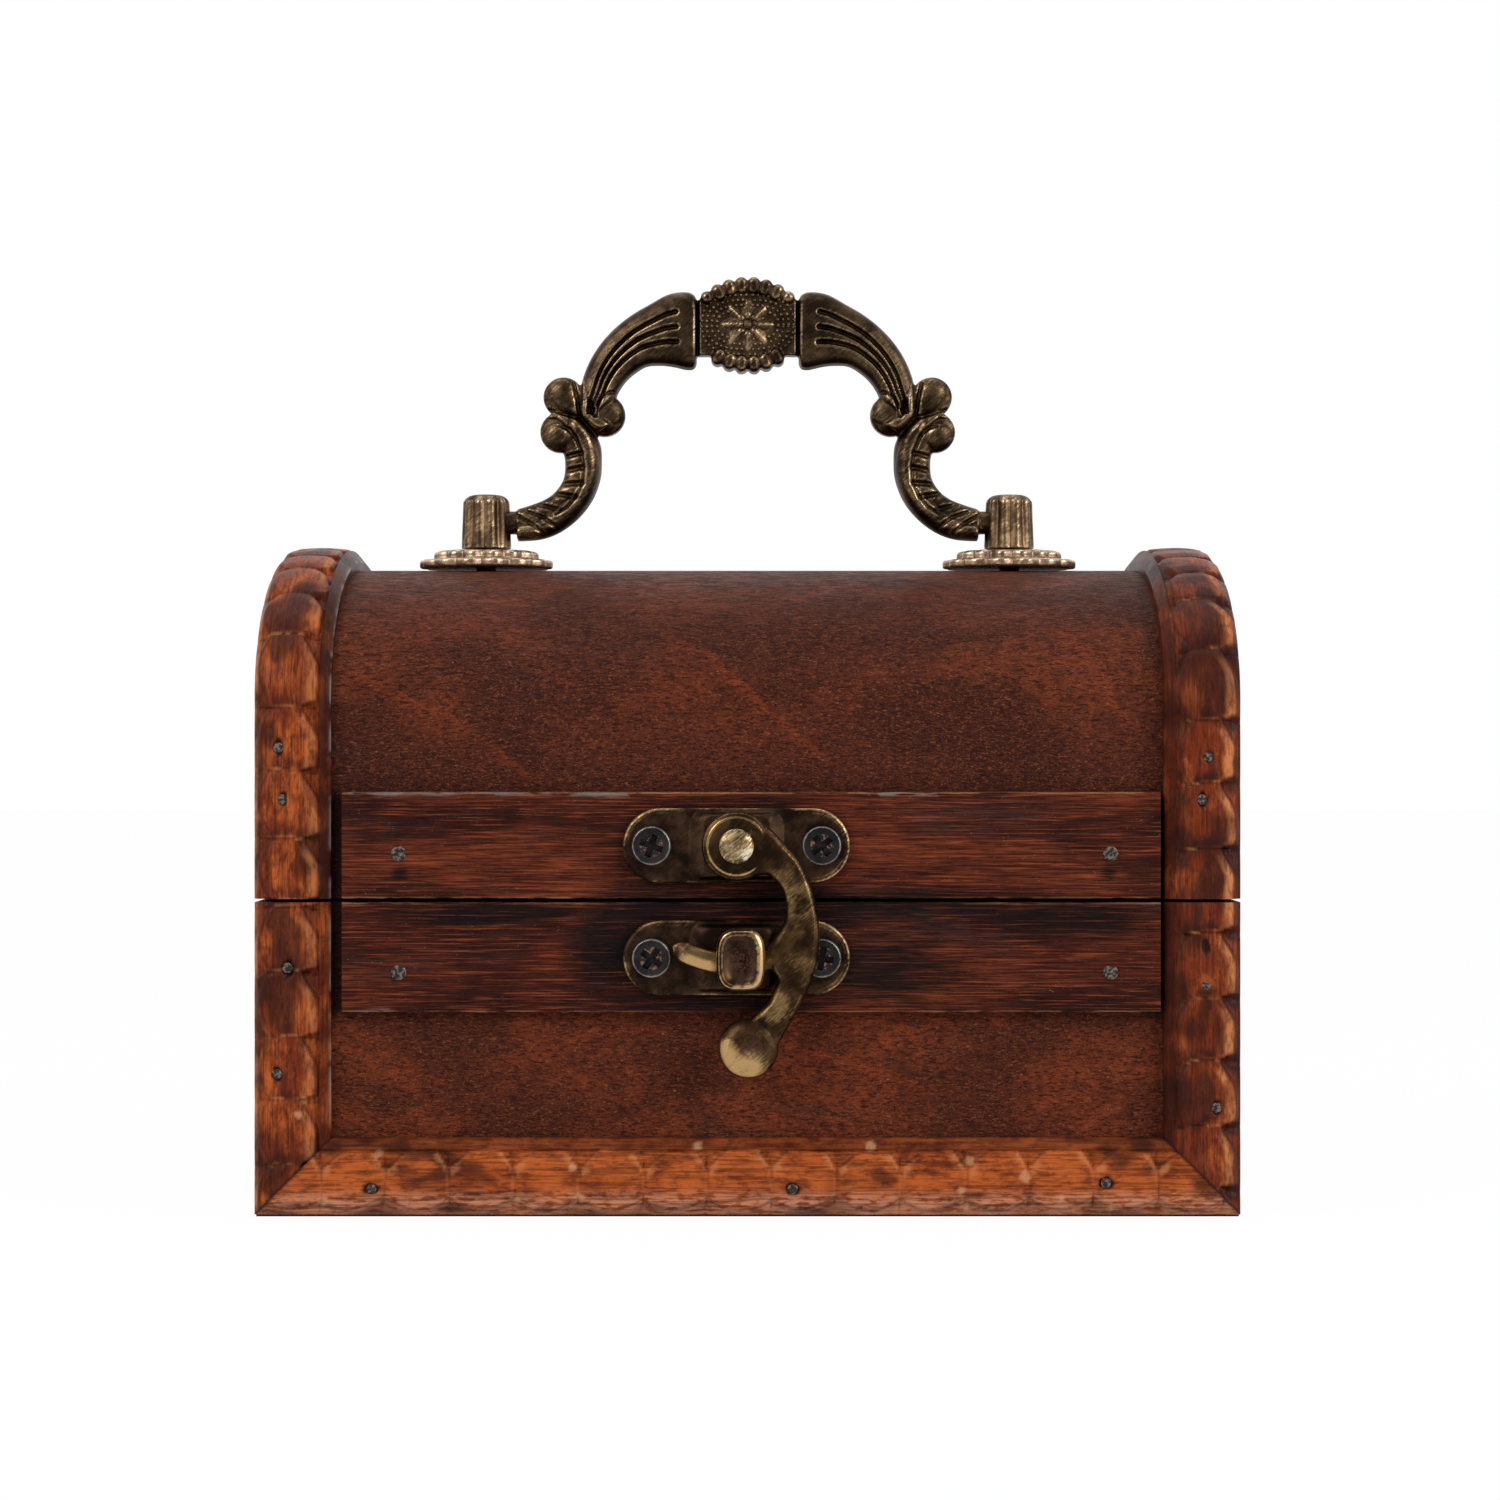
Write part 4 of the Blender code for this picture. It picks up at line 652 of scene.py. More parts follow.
def strip_mesh(name, path, across, offset, tone, wear_and_light, mitres=()):
    """Sweep the strip's section along a path of (point, outward), carve it, and cut any mitres."""
    widths = np.linspace(0.0, 1.0, SECTION_POINTS)
    heights = np.interp(widths, *zip(*STRIP_FACE_SHARES))
    section = [(0.0, STRIP_SUNK), (0.0, 0.3), *zip(widths.tolist(), heights.tolist()), (1.0, 0.27), (1.0, STRIP_SUNK)]
    shape = bmesh.new()
    layers = shape.verts.layers
    for key in NUMBER_LAYERS:
        layers.float.new(key)
    for key in VECTOR_LAYERS:
        layers.float_vector.new(key)
    rows = loft(shape, [[point + across * (STRIP_WIDTH * width) + outward * (STRIP_THICKNESS * height)
                         for width, height in section] for point, outward in path])
    numbers = {key: layers.float[key] for key in NUMBER_LAYERS}
    vectors = {key: layers.float_vector[key] for key in VECTOR_LAYERS}
    reach = 0.0
    for index, (row, (point, outward)) in enumerate(zip(rows, path)):
        if index:
            reach += (point - path[index - 1][0]).length
        for vert, (width, height) in zip(row, section):
            for key, value in (("along", reach), ("across", width), ("height", height), ("tone", tone)):
                vert[numbers[key]] = value
            vert[vectors["outward"]] = outward
            vert[vectors["strip_place"]] = (reach, width * STRIP_WIDTH, offset * 90.0)
            if outward.y < -0.9 and height > 0.5:
                vert[numbers["pit"]] = max(spot_share(vert.co, *spot) for spot in PIT_PLACES)
                vert[numbers["speck"]] = max(spot_share(vert.co, x, z, size, size) for x, z, size in SPECK_PLACES)
    for corner, normal in mitres:
        parts = shape.verts[:] + shape.edges[:] + shape.faces[:]
        cut = bmesh.ops.bisect_plane(shape, geom=parts, dist=1e-7, plane_co=corner, plane_no=normal, clear_outer=True)
        rim = [part for part in cut["geom_cut"] if isinstance(part, bmesh.types.BMEdge)]
        bmesh.ops.edgenet_fill(shape, edges=rim)
        for vert in shape.verts:
            gap = abs((vert.co - corner).dot(normal.normalized()))
            vert[numbers["seam"]] = max(vert[numbers["seam"]], 1.0 - gap / SEAM_REACH)
    strip = run_tree(add_form(name, shape), carving_tree,
                     {"Pitch": CARVE_PITCH, "Crease Depth": CREASE_DEPTH, "Scallop Depth": SCALLOP_DEPTH,
                      "Pit Depth": PIT_DEPTH, "Offset": offset, "Material": trim_material, **wear_and_light})
    return smoothed(strip, 50.0)


def spot_share(place, x, z, half_width, half_height):
    """How far inside a small ragged spot on the front a point lies, from 0 outside to 1 well inside."""
    reach = math.hypot((place.x - x) / half_width, (place.z - z) / half_height)
    if reach > 2.0:
        return 0.0
    ragged = 0.35 * noise.noise(place * 1800.0)
    return min(1.0, max(0.0, (1.15 - reach + ragged) * 2.2))


def straight_path(start, end, outward):
    """Evenly spaced points from one end of a strip to the other."""
    steps = round((end - start).length / CARVE_STEP)
    return [(start.lerp(end, step / steps), outward) for step in range(steps + 1)]


def arch_path(half_depth, crest, foot, x):
    """Evenly spaced points up the front leg, over the arch and down the back leg."""
    dense = [(Vector((x, -half_depth, foot)), Vector((0.0, -1.0, 0.0)))]
    for index in range(ARCH_STEPS + 1):
        turn = math.pi * index / ARCH_STEPS
        point = Vector((x, *arch_point(half_depth, crest, turn)))
        normal = Vector((0.0, -(crest - SPRING_HEIGHT) * math.cos(turn), half_depth * math.sin(turn))).normalized()
        dense.append((point, normal))
    dense.append((Vector((x, half_depth, foot)), Vector((0.0, 1.0, 0.0))))
    reach = np.cumsum([0.0] + [(b[0] - a[0]).length for a, b in zip(dense, dense[1:])])
    path = []
    for wanted in np.linspace(0.0, reach[-1], round(reach[-1] / CARVE_STEP) + 1):
        index = min(int(np.searchsorted(reach, wanted, side="right")) - 1, len(dense) - 2)
        share = (wanted - reach[index]) / (reach[index + 1] - reach[index])
        path.append((dense[index][0].lerp(dense[index + 1][0], share),
                     dense[index][1].lerp(dense[index + 1][1], share).normalized()))
    return path


half_width = shell_high[0]
panel_front = shell_high[1]
strip_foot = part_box("base_trim_front_bottom")[0][2]
base_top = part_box("base_trim_front_left")[1][2]
UP = Vector((0.0, 0.0, 1.0))
ARCH_BEVELS = {"left": 0.95, "right": 0.65}
# Which side each upright strip is on, its stain's tone, and its wear and painted light
SIDES = {"left": (-1, 0.5, LEFT_WEAR_AND_LIGHT), "right": (1, 0.3, RIGHT_WEAR_AND_LIGHT)}
for face_name, face_side in (("front", -1), ("back", 1)):
    face_out = Vector((0.0, face_side, 0.0))
    corners = [Vector((side * half_width, face_side * (panel_front + STRIP_SEAT), strip_foot)) for side in (-1, 1)]
    rail = strip_mesh(f"rail_{face_name}", straight_path(*corners, face_out), UP, 0.15 * face_side, RAIL_TONE,
                      RAIL_WEAR_AND_LIGHT, [(corner, Vector((side, 0.0, 1.0))) for corner, side in zip(corners, (-1.0, 1.0))])
    settle(rail, "base", (f"base_trim_{face_name}_bottom",))
    for (side_name, (side, tone, wear_and_light)), corner in zip(SIDES.items(), corners):
        post_strip = strip_mesh(f"corner_post_{face_name}_{side_name}",
                                straight_path(corner, Vector((corner.x, corner.y, base_top)), face_out),
                                Vector((-side, 0.0, 0.0)), 0.3 + 0.2 * side, tone, wear_and_light,
                                ((corner, Vector((-side, 0.0, -1.0))),))
        settle(post_strip, "base", (f"base_trim_{face_name}_{side_name}",))
for side_name, (side, tone, wear_and_light) in SIDES.items():
    lid_path = arch_path(panel_front + STRIP_SEAT, shell_high[2] + STRIP_SEAT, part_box("lid_trim_left")[0][2],
                         side * half_width)
    arch = strip_mesh(f"arch_strip_{side_name}", lid_path, Vector((-side, 0.0, 0.0)), 0.1 * side, tone,
                      {**wear_and_light, "Bevel": ARCH_BEVELS[side_name]})
    settle(arch, "lid", (f"lid_trim_{side_name}",))


# Battens: thin sawn strips glued and nailed across the front and back at the parting line.
# Their edges are rough from the saw, and the stain has a plum cast; soot from handling and painted shade ring the
# catch.
BATTEN_DARK = (0.02, 0.0052, 0.004)
BATTEN_MID = (0.076, 0.015, 0.0076)
BATTEN_RED = (0.21, 0.044, 0.015)
BATTEN_SMOKE = (0.037, 0.0195, 0.019)
EDGE_WORN = (0.36, 0.165, 0.08)
GLUE = (0.17, 0.135, 0.12)
# Colour of the soot and of the painted shade round the plates
SOOT_AND_SHADE = (0.0062, 0.0042, 0.0041)
EDGE_FRAY = 0.00018
BATTEN_CELL = 0.0005
# Soot and painted shade round the plates and under the hook: (x, z, half length, half height) on the front face
SOOT_AND_SHADE_PLACES = (
    (-0.017, 0.0322, 0.006, 0.0056), (0.015, 0.03, 0.013, 0.006), (0.0384, 0.0358, 0.012, 0.0034),
    (-0.0013, 0.032, 0.0185, 0.0085), (-0.0013, 0.0446, 0.015, 0.007), (-0.03, 0.0366, 0.016, 0.002),
    (-0.01, 0.0364, 0.013, 0.004), (0.006, 0.0364, 0.015, 0.0044), (-0.0013, 0.0258, 0.019, 0.0024),
    (0.01, 0.0376, 0.03, 0.003), (-0.0415, 0.0413, 0.0013, 0.0012), (0.0432, 0.0413, 0.0013, 0.0012))
# Glue squeezed out along the edges: (x start, x end, height)
GLUE_RUNS = ((-0.0476, -0.0142, 0.05085), (0.0156, 0.0228, 0.05085), (-0.047, -0.0375, 0.0247))


def make_batten_material():
    material, place = new_material("sawn batten", sheen=0.05)
    grain = wood_grain(place, 300.0, 4300.0)
    lines = stretched_noise(place, (110.0, 4400.0, 4400.0), 3.0, 0.6, 0.35)
    wash = stretched_noise(place, (26.0, 130.0, 130.0), 3.0, 0.6)
    frayed = stretched_noise(place, (260.0, 900.0, 900.0))
    smoky = (stretched_noise(place, (120.0, 520.0, 520.0), 4.0, 0.65) - 0.5) * 1.3 + (lines - 0.5) * 2.2
    soot = mark(place, "soot")
    worn = mark(place, "worn") * maths("SUBTRACT", 1.0, soot, clamp=True) * between(frayed, 0.36, 0.56)
    colour = coated(blend(grain["Clouds"], BATTEN_DARK, BATTEN_MID), (between(wash, 0.44, 0.68), 0.55, BATTEN_RED),
                    (between(lines, 0.47, 0.34), 0.68, BATTEN_RED), (between(lines, 0.5, 0.62), 0.82, BATTEN_DARK),
                    (grain["Smoke"], 0.45, BATTEN_SMOKE), (grain["Pores"], 0.62, BATTEN_DARK),
                    (grain["Fibres"], 0.7, FIBRE_PALE),
                    (maths("MULTIPLY", soot, smoky + 1.05, clamp=True), 0.91, SOOT_AND_SHADE), (worn, 0.85, EDGE_WORN),
                    (mark(place, "glue") * between(frayed, 0.4, 0.52), 0.85, GLUE))
    return finished(material, colour, between(grain["Streaks"], 0.0, 1.0, 0.42, 0.58),
                    (grain["Pores"] + between(lines, 0.4, 0.62)) * -1.0, 0.0001, 0.9)


batten_material = make_batten_material()


def box_of(name):
    """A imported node's lowest and highest corner, and its middle."""
    low, high = (Vector(corner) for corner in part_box(name))
    return low, high, tuple((least + most) / 2 for least, most in zip(low, high))


def batten(name, node_name, body):
    """A sawn strip with frayed edges, in the place of its node."""
    low, high, _ = box_of(node_name)
    shape = bmesh.new()
    for key in ("soot", "worn", "glue"):
        shape.verts.layers.float.new(key)
    columns = round((high.x - low.x) / BATTEN_CELL)
    middle = (low + high) / 2
    outward = math.copysign(1.0, middle.y)
    back, face = (low.y, high.y) if outward > 0 else (high.y, low.y)
    heights = np.linspace(low.z, high.z, 40)
    rings = []
    for column in range(columns + 1):
        x = low.x + (high.x - low.x) * column / columns
        ring = [(x, back, low.z), (x, back, high.z)]
        for z in heights[::-1]:
            edge = min(z - low.z, high.z - z)
            fray = noise.noise(Vector((x * 700.0, z * 90.0, node_name.count("lid") + middle.y))) * 0.5 + 0.5
            inset = EDGE_FRAY * (1.2 * fray + 0.6) * max(0.0, 1.0 - edge / (EDGE_FRAY * 3)) ** 2
            shrink = EDGE_FRAY * fray * max(0.0, 1.0 - edge / EDGE_FRAY)
            ring.append((x, face - outward * inset, z - math.copysign(shrink, z - middle.z)))
        rings.append(ring)
    rows = loft(shape, rings)
    soot_and_shade_layer, worn_layer, glue_layer = (shape.verts.layers.float[key] for key in ("soot", "worn", "glue"))
    for row in rows:
        for vert in row[2:]:
            if outward < 0:
                vert[soot_and_shade_layer] = max(soot_and_shade_share(vert.co, *spot) for spot in SOOT_AND_SHADE_PLACES)
                vert[glue_layer] = max(glue_share(vert.co, *run) for run in GLUE_RUNS)
            edge = min(vert.co.z - low.z, high.z - vert.co.z)
            vert[worn_layer] = 1.0 if edge < EDGE_FRAY * 1.1 else 0.0
    settle(smoothed(add_form(name, shape), 40.0), body, (node_name,), batten_material)


def soot_and_shade_share(place, x, z, half_length, half_height):
    """How far inside a soft oval of soot and painted shade a point lies."""
    return min(1.0, max(0.0, 1.2 - 1.2 * math.hypot((place.x - x) / half_length, (place.z - z) / half_height) ** 1.6))


def glue_share(place, start, end, height):
    """Whether a point lies on a ragged run of dried glue."""
    if not start < place.x < end:
        return 0.0
    thickness = 0.00022 + 0.00026 * noise.noise(Vector((place.x * 260.0, height * 90.0, 0.0)))
    return max(0.0, min(1.0, 1.5 - abs(place.z - height) / thickness))


for body_name in ("lid", "base"):
    for face_name in ("front", "back"):
        batten(f"sawn_batten_{body_name}_{face_name}", f"{body_name}_batten_{face_name}", body_name)


# Latch plates, hinges and catch: stamped and cast brass with a dark antique patina.
# Handling has rubbed the raised edges bright; the hollows stay nearly black.
# The catch head's right and lower rim carries painted highlights.
BRASS_DARK = (0.015, 0.008, 0.0056)
BRASS_MID = (0.06, 0.032, 0.0185)
BRASS_BRIGHT = (0.54, 0.35, 0.165)
BRASS_RUST = (0.1, 0.04, 0.032)
# How far a point stands proud before its edge counts as rubbed, as a share of the voxel
EDGE_REACH = 0.22


def make_patina_group():
    """Antique patina: a base tarnish with cloudy tone, and wear that follows the raised edges and painted highlight
    spots.
    """
    group, given, result = new_tree("antique patina", "Shader",
                                    {"Vector": "Vector", "Edge": "Float", "Rub": "Float", "Scratch": "Float"},
                                    dict.fromkeys(("Tone", "Wear", "Grit"), "Float"))
    place, scratching = given["Vector"], given["Scratch"]
    tone = stretched_noise(place, 330.0, 4.0, 0.6)
    scratch = (stretched_noise(place, (900.0, 2600.0, 5200.0), 3.0, 0.7, turn=0.7) - 0.5) * scratching
    broken = (tone - 0.5) * (scratching * 0.75 + 0.35) + scratch * 1.5
    feed(result, {"Tone": between(tone + scratch * 0.6, 0.35, 0.68), "Grit": stretched_noise(place, 2600.0, 2.0),
                  "Wear": between(given["Edge"] * given["Rub"] + broken, 0.3, 0.95)})
    return group


patina_group = make_patina_group()


def tarnished(place, dark, mid, bright, rub, scratch):
    """The patina's masks, and the metal's colour from its hollows to its rubbed edges and painted highlights."""
    patina = add_node(place.tree, "ShaderNodeGroup", {"Vector": place, "Edge": mark(place, "edge"), "Rub": rub,
                                                      "Scratch": scratch}, node_tree=patina_group)
    return patina, blend(patina["Wear"], blend(patina["Tone"], dark, mid), bright)


def make_brass_material(name, dark, mid, bright, rub, scratch=1.0):
    material, place = new_material(name, 1.0)
    patina, colour = tarnished(place, dark, mid, bright, rub, scratch)
    grit = mark(place, "grit") * between(patina["Grit"], 0.46, 0.56)
    return finished(material, coated(colour, (grit, 0.75, BRASS_RUST)),
                    between(patina["Wear"], 0.0, 1.0, 0.42, 0.26), patina["Grit"], 0.00003, 0.5)


brass_material = make_brass_material("antique brass", BRASS_DARK, BRASS_MID, BRASS_BRIGHT, 1.15, 0.52)


def rows_of(data, key, kind=np.float64):
    """Vectors of a mesh as rows of numbers."""
    values = np.empty(len(data) * 3, kind)
    data.foreach_get(key, values)
    return values.reshape(-1, 3)


def rub(thing, centre, *spots, layer="edge"):
    """Add handling wear and painted highlights, or another mark, at (right, up, radius, strength) spots from a centre.
    """
    mesh = thing.data
    places = rows_of(mesh.vertices, "co")
    worn = np.zeros(len(places), np.float32)
    if layer not in mesh.attributes:
        mesh.attributes.new(layer, "FLOAT", "POINT")
    mesh.attributes[layer].data.foreach_get("value", worn)
    for right, up, radius, strength in spots:
        gap = np.hypot(places[:, 0] - (centre.x + right), places[:, 2] - (centre.z + up))
        near = np.clip(1.0 - gap / radius, 0.0, 1.0)
        worn = np.maximum(worn, (strength * np.minimum(1.0, near * 1.8)).astype(np.float32))
    mesh.attributes[layer].data.foreach_set("value", worn)


def mark_edges(mesh, reach):
    """Store how far each point stands proud of its neighbours, as the mask for rubbed edges."""
    places = flow = rows_of(mesh.vertices, "co")
    pairs = np.empty(len(mesh.edges) * 2, np.int64)
    mesh.edges.foreach_get("vertices", pairs)
    pairs = pairs.reshape(-1, 2)
    degree = np.bincount(pairs.ravel(), minlength=len(places)).clip(1)
    for _ in range(3):
        total = np.zeros_like(flow)
        np.add.at(total, pairs[:, 0], flow[pairs[:, 1]])
        np.add.at(total, pairs[:, 1], flow[pairs[:, 0]])
        flow = total / degree[:, None]
    proud = ((places - flow) * rows_of(mesh.vertex_normals, "vector")).sum(axis=1) / reach
    layer = mesh.attributes.new("edge", "FLOAT", "POINT")
    layer.data.foreach_set("value", np.clip(proud, 0.0, 1.0).astype(np.float32))


def fuse(name, shape, voxel, smoothing=2):
    """Fuse overlapping closed forms into one cast skin, and mark its proud edges."""
    thing = add_form(name, shape)
    remesh = thing.modifiers.new("remesh", "REMESH")
    remesh.mode = "VOXEL"
    remesh.voxel_size = voxel
    remesh.use_smooth_shade = True
    soften = thing.modifiers.new("soften", "SMOOTH")
    soften.factor = 0.5
    soften.iterations = smoothing
    applied(thing).data.shade_smooth()
    mark_edges(thing.data, voxel * EDGE_REACH)
    return thing


def ring_points(sides, shift=0.0):
    """Cosine and sine of the turns round a ring."""
    turns = [math.tau * (side + shift) / sides for side in range(sides)]
    return [(math.cos(turn), math.sin(turn)) for turn in turns]


def turned(shape, profile, sides, matrix):
    """Add a turned form, from (radius, height) points about the matrix's Z."""
    loft(shape, [[matrix @ Vector((radius * x, radius * y, height)) for x, y in ring_points(sides)]
                 for radius, height in profile])


def facing_front(x, depth, z):
    """A frame at a point before the middle plane, with its Z to the front."""
    return Matrix.Translation((x, -depth, z)) @ Matrix.Rotation(math.radians(90.0), 4, "X")


def obround(length, height, cx, cz, steps=20):
    radius = height / 2
    points = []
    for end in (1, -1):
        for step in range(steps + 1):
            turn = end * math.pi / 2 - math.pi * step / steps
            points.append((cx + end * (length / 2 - radius) + radius * math.cos(turn), cz + radius * math.sin(turn)))
    return points


PLATE_VOXEL = 0.00014
PLATE_THICKNESS = 0.0008
BOSS_LENGTH = 0.0102
BOSS_RISE = 0.0009
plate_low, plate_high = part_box("latch_plate")
PLATE_SIZE = (plate_high[0] - plate_low[0], plate_high[2] - plate_low[2])
# Inset and depth of a plate's rim, then the spread and depth of its raised middle
PLATE_RIM = ((0.0, 0.0), (0.0, 0.00045), (0.0002, 0.00068), (0.0006, PLATE_THICKNESS), (0.0012, PLATE_THICKNESS),
             (0.002, PLATE_THICKNESS - 0.0001))
PLATE_BOSS = ((0.0022, 0.0003), (0.0016, PLATE_THICKNESS), (0.0006, PLATE_THICKNESS + BOSS_RISE * 0.75),
              (0.0, PLATE_THICKNESS + BOSS_RISE))
BOSS_CORNER = 0.0012


def plate(name, node_name, body):
    """A stamped plate: turned-down rim, raised middle with sloping shoulders."""
    _, high, (cx, _, cz) = box_of(node_name)
    shape = bmesh.new()
    loft(shape, [[(x, high.y - depth, z)
                  for x, z in obround(PLATE_SIZE[0] - 2 * inset, PLATE_SIZE[1] - 2 * inset, cx, cz)]
                 for inset, depth in PLATE_RIM])
    boss = []
    for spread, depth in PLATE_BOSS:
        half_x = BOSS_LENGTH / 2 + spread - 0.0012 - BOSS_CORNER
        half_z = PLATE_SIZE[1] / 2 - 0.00035 - (0.0022 - spread) * 0.25 - BOSS_CORNER
        boss.append([(cx + math.copysign(half_x, x) + BOSS_CORNER * x, high.y - depth,
                      cz + math.copysign(half_z, z) + BOSS_CORNER * z) for x, z in ring_points(24, 0.5)])
    loft(shape, boss)
    thing = fuse(name, shape, PLATE_VOXEL)
    edge = thing.data.attributes["edge"].data
    for index, vert in enumerate(thing.data.vertices):
        handled = 0.8 + 1.3 * noise.noise(Vector((vert.co.x * 240.0, vert.co.z * 240.0, 0.7)))
        sheltered = 0.2 if high.y - vert.co.y > PLATE_THICKNESS + 0.0001 else 1.0
        edge[index].value *= min(1.0, max(0.2, handled)) * sheltered
    settle(thing, body, (node_name,), brass_material)


plate("stamped_latch_plate", "latch_plate", "lid")
plate("stamped_catch_plate", "catch_plate", "base")


# Hook: a flat cast swing hook on a round-headed rivet, with a thumb pad at its foot.
# Its tine lies behind the catch's head; the face is dark and its edges are rubbed bright.
HOOK_VOXEL = 0.00013
THUMB_DROP = 0.024
THUMB_OFFSET = 0.0014
THUMB_RADIUS = 0.0036
EYE_RADIUS = 0.00415
TINE_RADIUS = 0.014
TINE_WIDTH = 0.0026
TINE_HALF = 0.00085
RIVET_VOXEL = 0.0001
CATCH_VOXEL = 0.00012
HOOK_SPREAD = 0.05
HOOK_HALF = 0.0009
HOOK_SHARES = (
    ((0.081, 0.138), (0.03, -0.132)), ((0.166, 0.076), (0.1, -0.138)), ((0.243, -0.005), (0.155, -0.136)),
    ((0.309, -0.081), (0.2, -0.17)), ((0.357, -0.185), (0.236, -0.226)), ((0.385, -0.29), (0.252, -0.3)),
    ((0.401, -0.385), (0.243, -0.375)), ((0.401, -0.48), (0.199, -0.453)), ((0.392, -0.56), (0.16, -0.522)),
    ((0.375, -0.625), (0.167, -0.592)), ((0.347, -0.709), (0.206, -0.655)), ((0.31, -0.785), (0.192, -0.71)),
    ((0.27, -0.855), (0.16, -0.778)), ((0.232, -0.92), (0.088, -0.846)), ((0.2, -0.98), (0.025, -0.9)))
# Half section across the hook's arm: place across it and half thickness
HOOK_SECTION_SHARES = (
    (0.0, 0.0), (0.02, 0.35), (0.06, 0.66), (0.13, 0.88), (0.24, 0.98), (0.38, 1.0), (0.5, 1.0), (0.62, 1.0),
    (0.76, 0.98), (0.87, 0.88), (0.94, 0.66), (0.98, 0.35), (1.0, 0.0))


def catmull(values, share):
    """A smooth curve through the middle two of four values."""
    before, start, end, after = values
    return 0.5 * (2 * start + (end - before) * share + (2 * before - 5 * start + 4 * end - after) * share ** 2
                  + (3 * start - before - 3 * end + after) * share ** 3)


def refined(edges, parts):
    """Blend more edge pairs between those of a table."""
    result = []
    last = len(edges) - 1
    for index in range(last):
        around = [edges[max(index - 1, 0)], edges[index], edges[index + 1], edges[min(index + 2, last)]]
        for part in range(parts):
            share = part / parts
            result.append(tuple(tuple(catmull([pair[edge][axis] for pair in around], share) for axis in (0, 1))
                                for edge in (0, 1)))
    result.append(edges[last])
    return result


def band(shape, edges, scale_x, scale_z, origin, half, section, relief=None):
    """Loft a cast arm between its outer and inner edges in the XZ plane."""
    rings = []
    for step, sides in enumerate(edges):
        start, end = (origin + Vector((x * scale_x, 0.0, z * scale_z)) for x, z in sides)
        share = step / (len(edges) - 1)
        front = [(across, max(half * thickness + (relief(share, across) if relief else 0.0), 0.0))
                 for across, thickness in section]
        rings.append([start.lerp(end, across) + Vector((0.0, face * depth, 0.0))
                      for face, points in ((-1, front), (1, front[-2:0:-1])) for across, depth in points])
    loft(shape, rings)


rivet_low, rivet_high, rivet_middle = box_of("latch_rivet")
hook_origin = Vector((rivet_middle[0], box_of("latch_hook")[2][1], rivet_middle[2]))
hook_shape = bmesh.new()
eye_profile = ((EYE_RADIUS - 0.0007, -HOOK_HALF), (EYE_RADIUS - 0.0002, -0.0006), (EYE_RADIUS, -0.0002),
               (EYE_RADIUS, 0.0002), (EYE_RADIUS - 0.0002, 0.0006), (EYE_RADIUS - 0.0007, HOOK_HALF),
               (EYE_RADIUS - 0.0012, HOOK_HALF - 0.0001))
turned(hook_shape, eye_profile, 64, facing_front(hook_origin.x, -hook_origin.y, hook_origin.z))
hook_edges = [tuple(tuple(near + (near - far) * HOOK_SPREAD for near, far in zip(here, there))
                    for here, there in ((outer, inner), (inner, outer))) for outer, inner in HOOK_SHARES]
band(hook_shape, refined(hook_edges, 6), THUMB_DROP, THUMB_DROP, hook_origin, HOOK_HALF, HOOK_SECTION_SHARES)
tine_rings = []
for tine_step in range(41):
    tine_share = tine_step / 40
    tine_turn = math.radians(-32.5 + 60.0 * tine_share)
    tine_out = Vector((math.sin(tine_turn), 0.0, -math.cos(tine_turn)))
    tine_taper = math.sqrt(max(0.0, min(1.0, 0.05 + tine_share * 9.0)))
    tine_rings.append([hook_origin + tine_out * (TINE_RADIUS + TINE_WIDTH / 2 * tine_taper * out)
                       + Vector((0.0, TINE_HALF * tine_taper * up, 0.0)) for out, up in ring_points(24)])
loft(hook_shape, tine_rings)
thumb_centre = hook_origin + Vector((THUMB_OFFSET, 0.0, -THUMB_DROP))
thumb_profile = ((THUMB_RADIUS - 0.0006, -0.0008), (THUMB_RADIUS, -0.0003), (THUMB_RADIUS, 0.0002),
                 (THUMB_RADIUS - 0.0002, 0.0006), (THUMB_RADIUS - 0.0006, 0.001), (THUMB_RADIUS - 0.0011, 0.0013),
                 (THUMB_RADIUS - 0.0017, 0.00148), (0.0012, 0.00156), (0.0005, 0.00158))
turned(hook_shape, thumb_profile, 64, facing_front(thumb_centre.x, -thumb_centre.y, thumb_centre.z))

hook = fuse("cast_hook", hook_shape, HOOK_VOXEL)
# Edge spots: painted highlights low and left on the thumb pad and on the tine's lower side; rubbed wear along the arm.
rub(hook, thumb_centre, (-0.0002, -0.0032, 0.0042, 0.88), (-0.003, -0.0008, 0.003, 0.8))
rub(hook, hook_origin, (0.0078, -0.0066, 0.004, 0.5), (0.0042, -0.019, 0.0034, 0.58),
    (0.0065, -0.004, 0.0044, 0.34), (0.0082, -0.009, 0.0044, 0.28), (0.0074, -0.015, 0.0044, 0.32),
    (-0.0048, -0.0144, 0.0036, 0.86))
rub(hook, thumb_centre, (0.0002, 0.0006, 0.0022, 1.0), layer="grit")
rub(hook, hook_origin, (-0.0064, -0.0122, 0.0012, 0.8), layer="grit")
hook_brass = make_brass_material("handled brass", (0.02, 0.0108, 0.006), (0.082, 0.043, 0.018),
                                 (0.47, 0.295, 0.125), 1.0, 0.5)
settle(hook, "hook", ("latch_hook",), hook_brass)

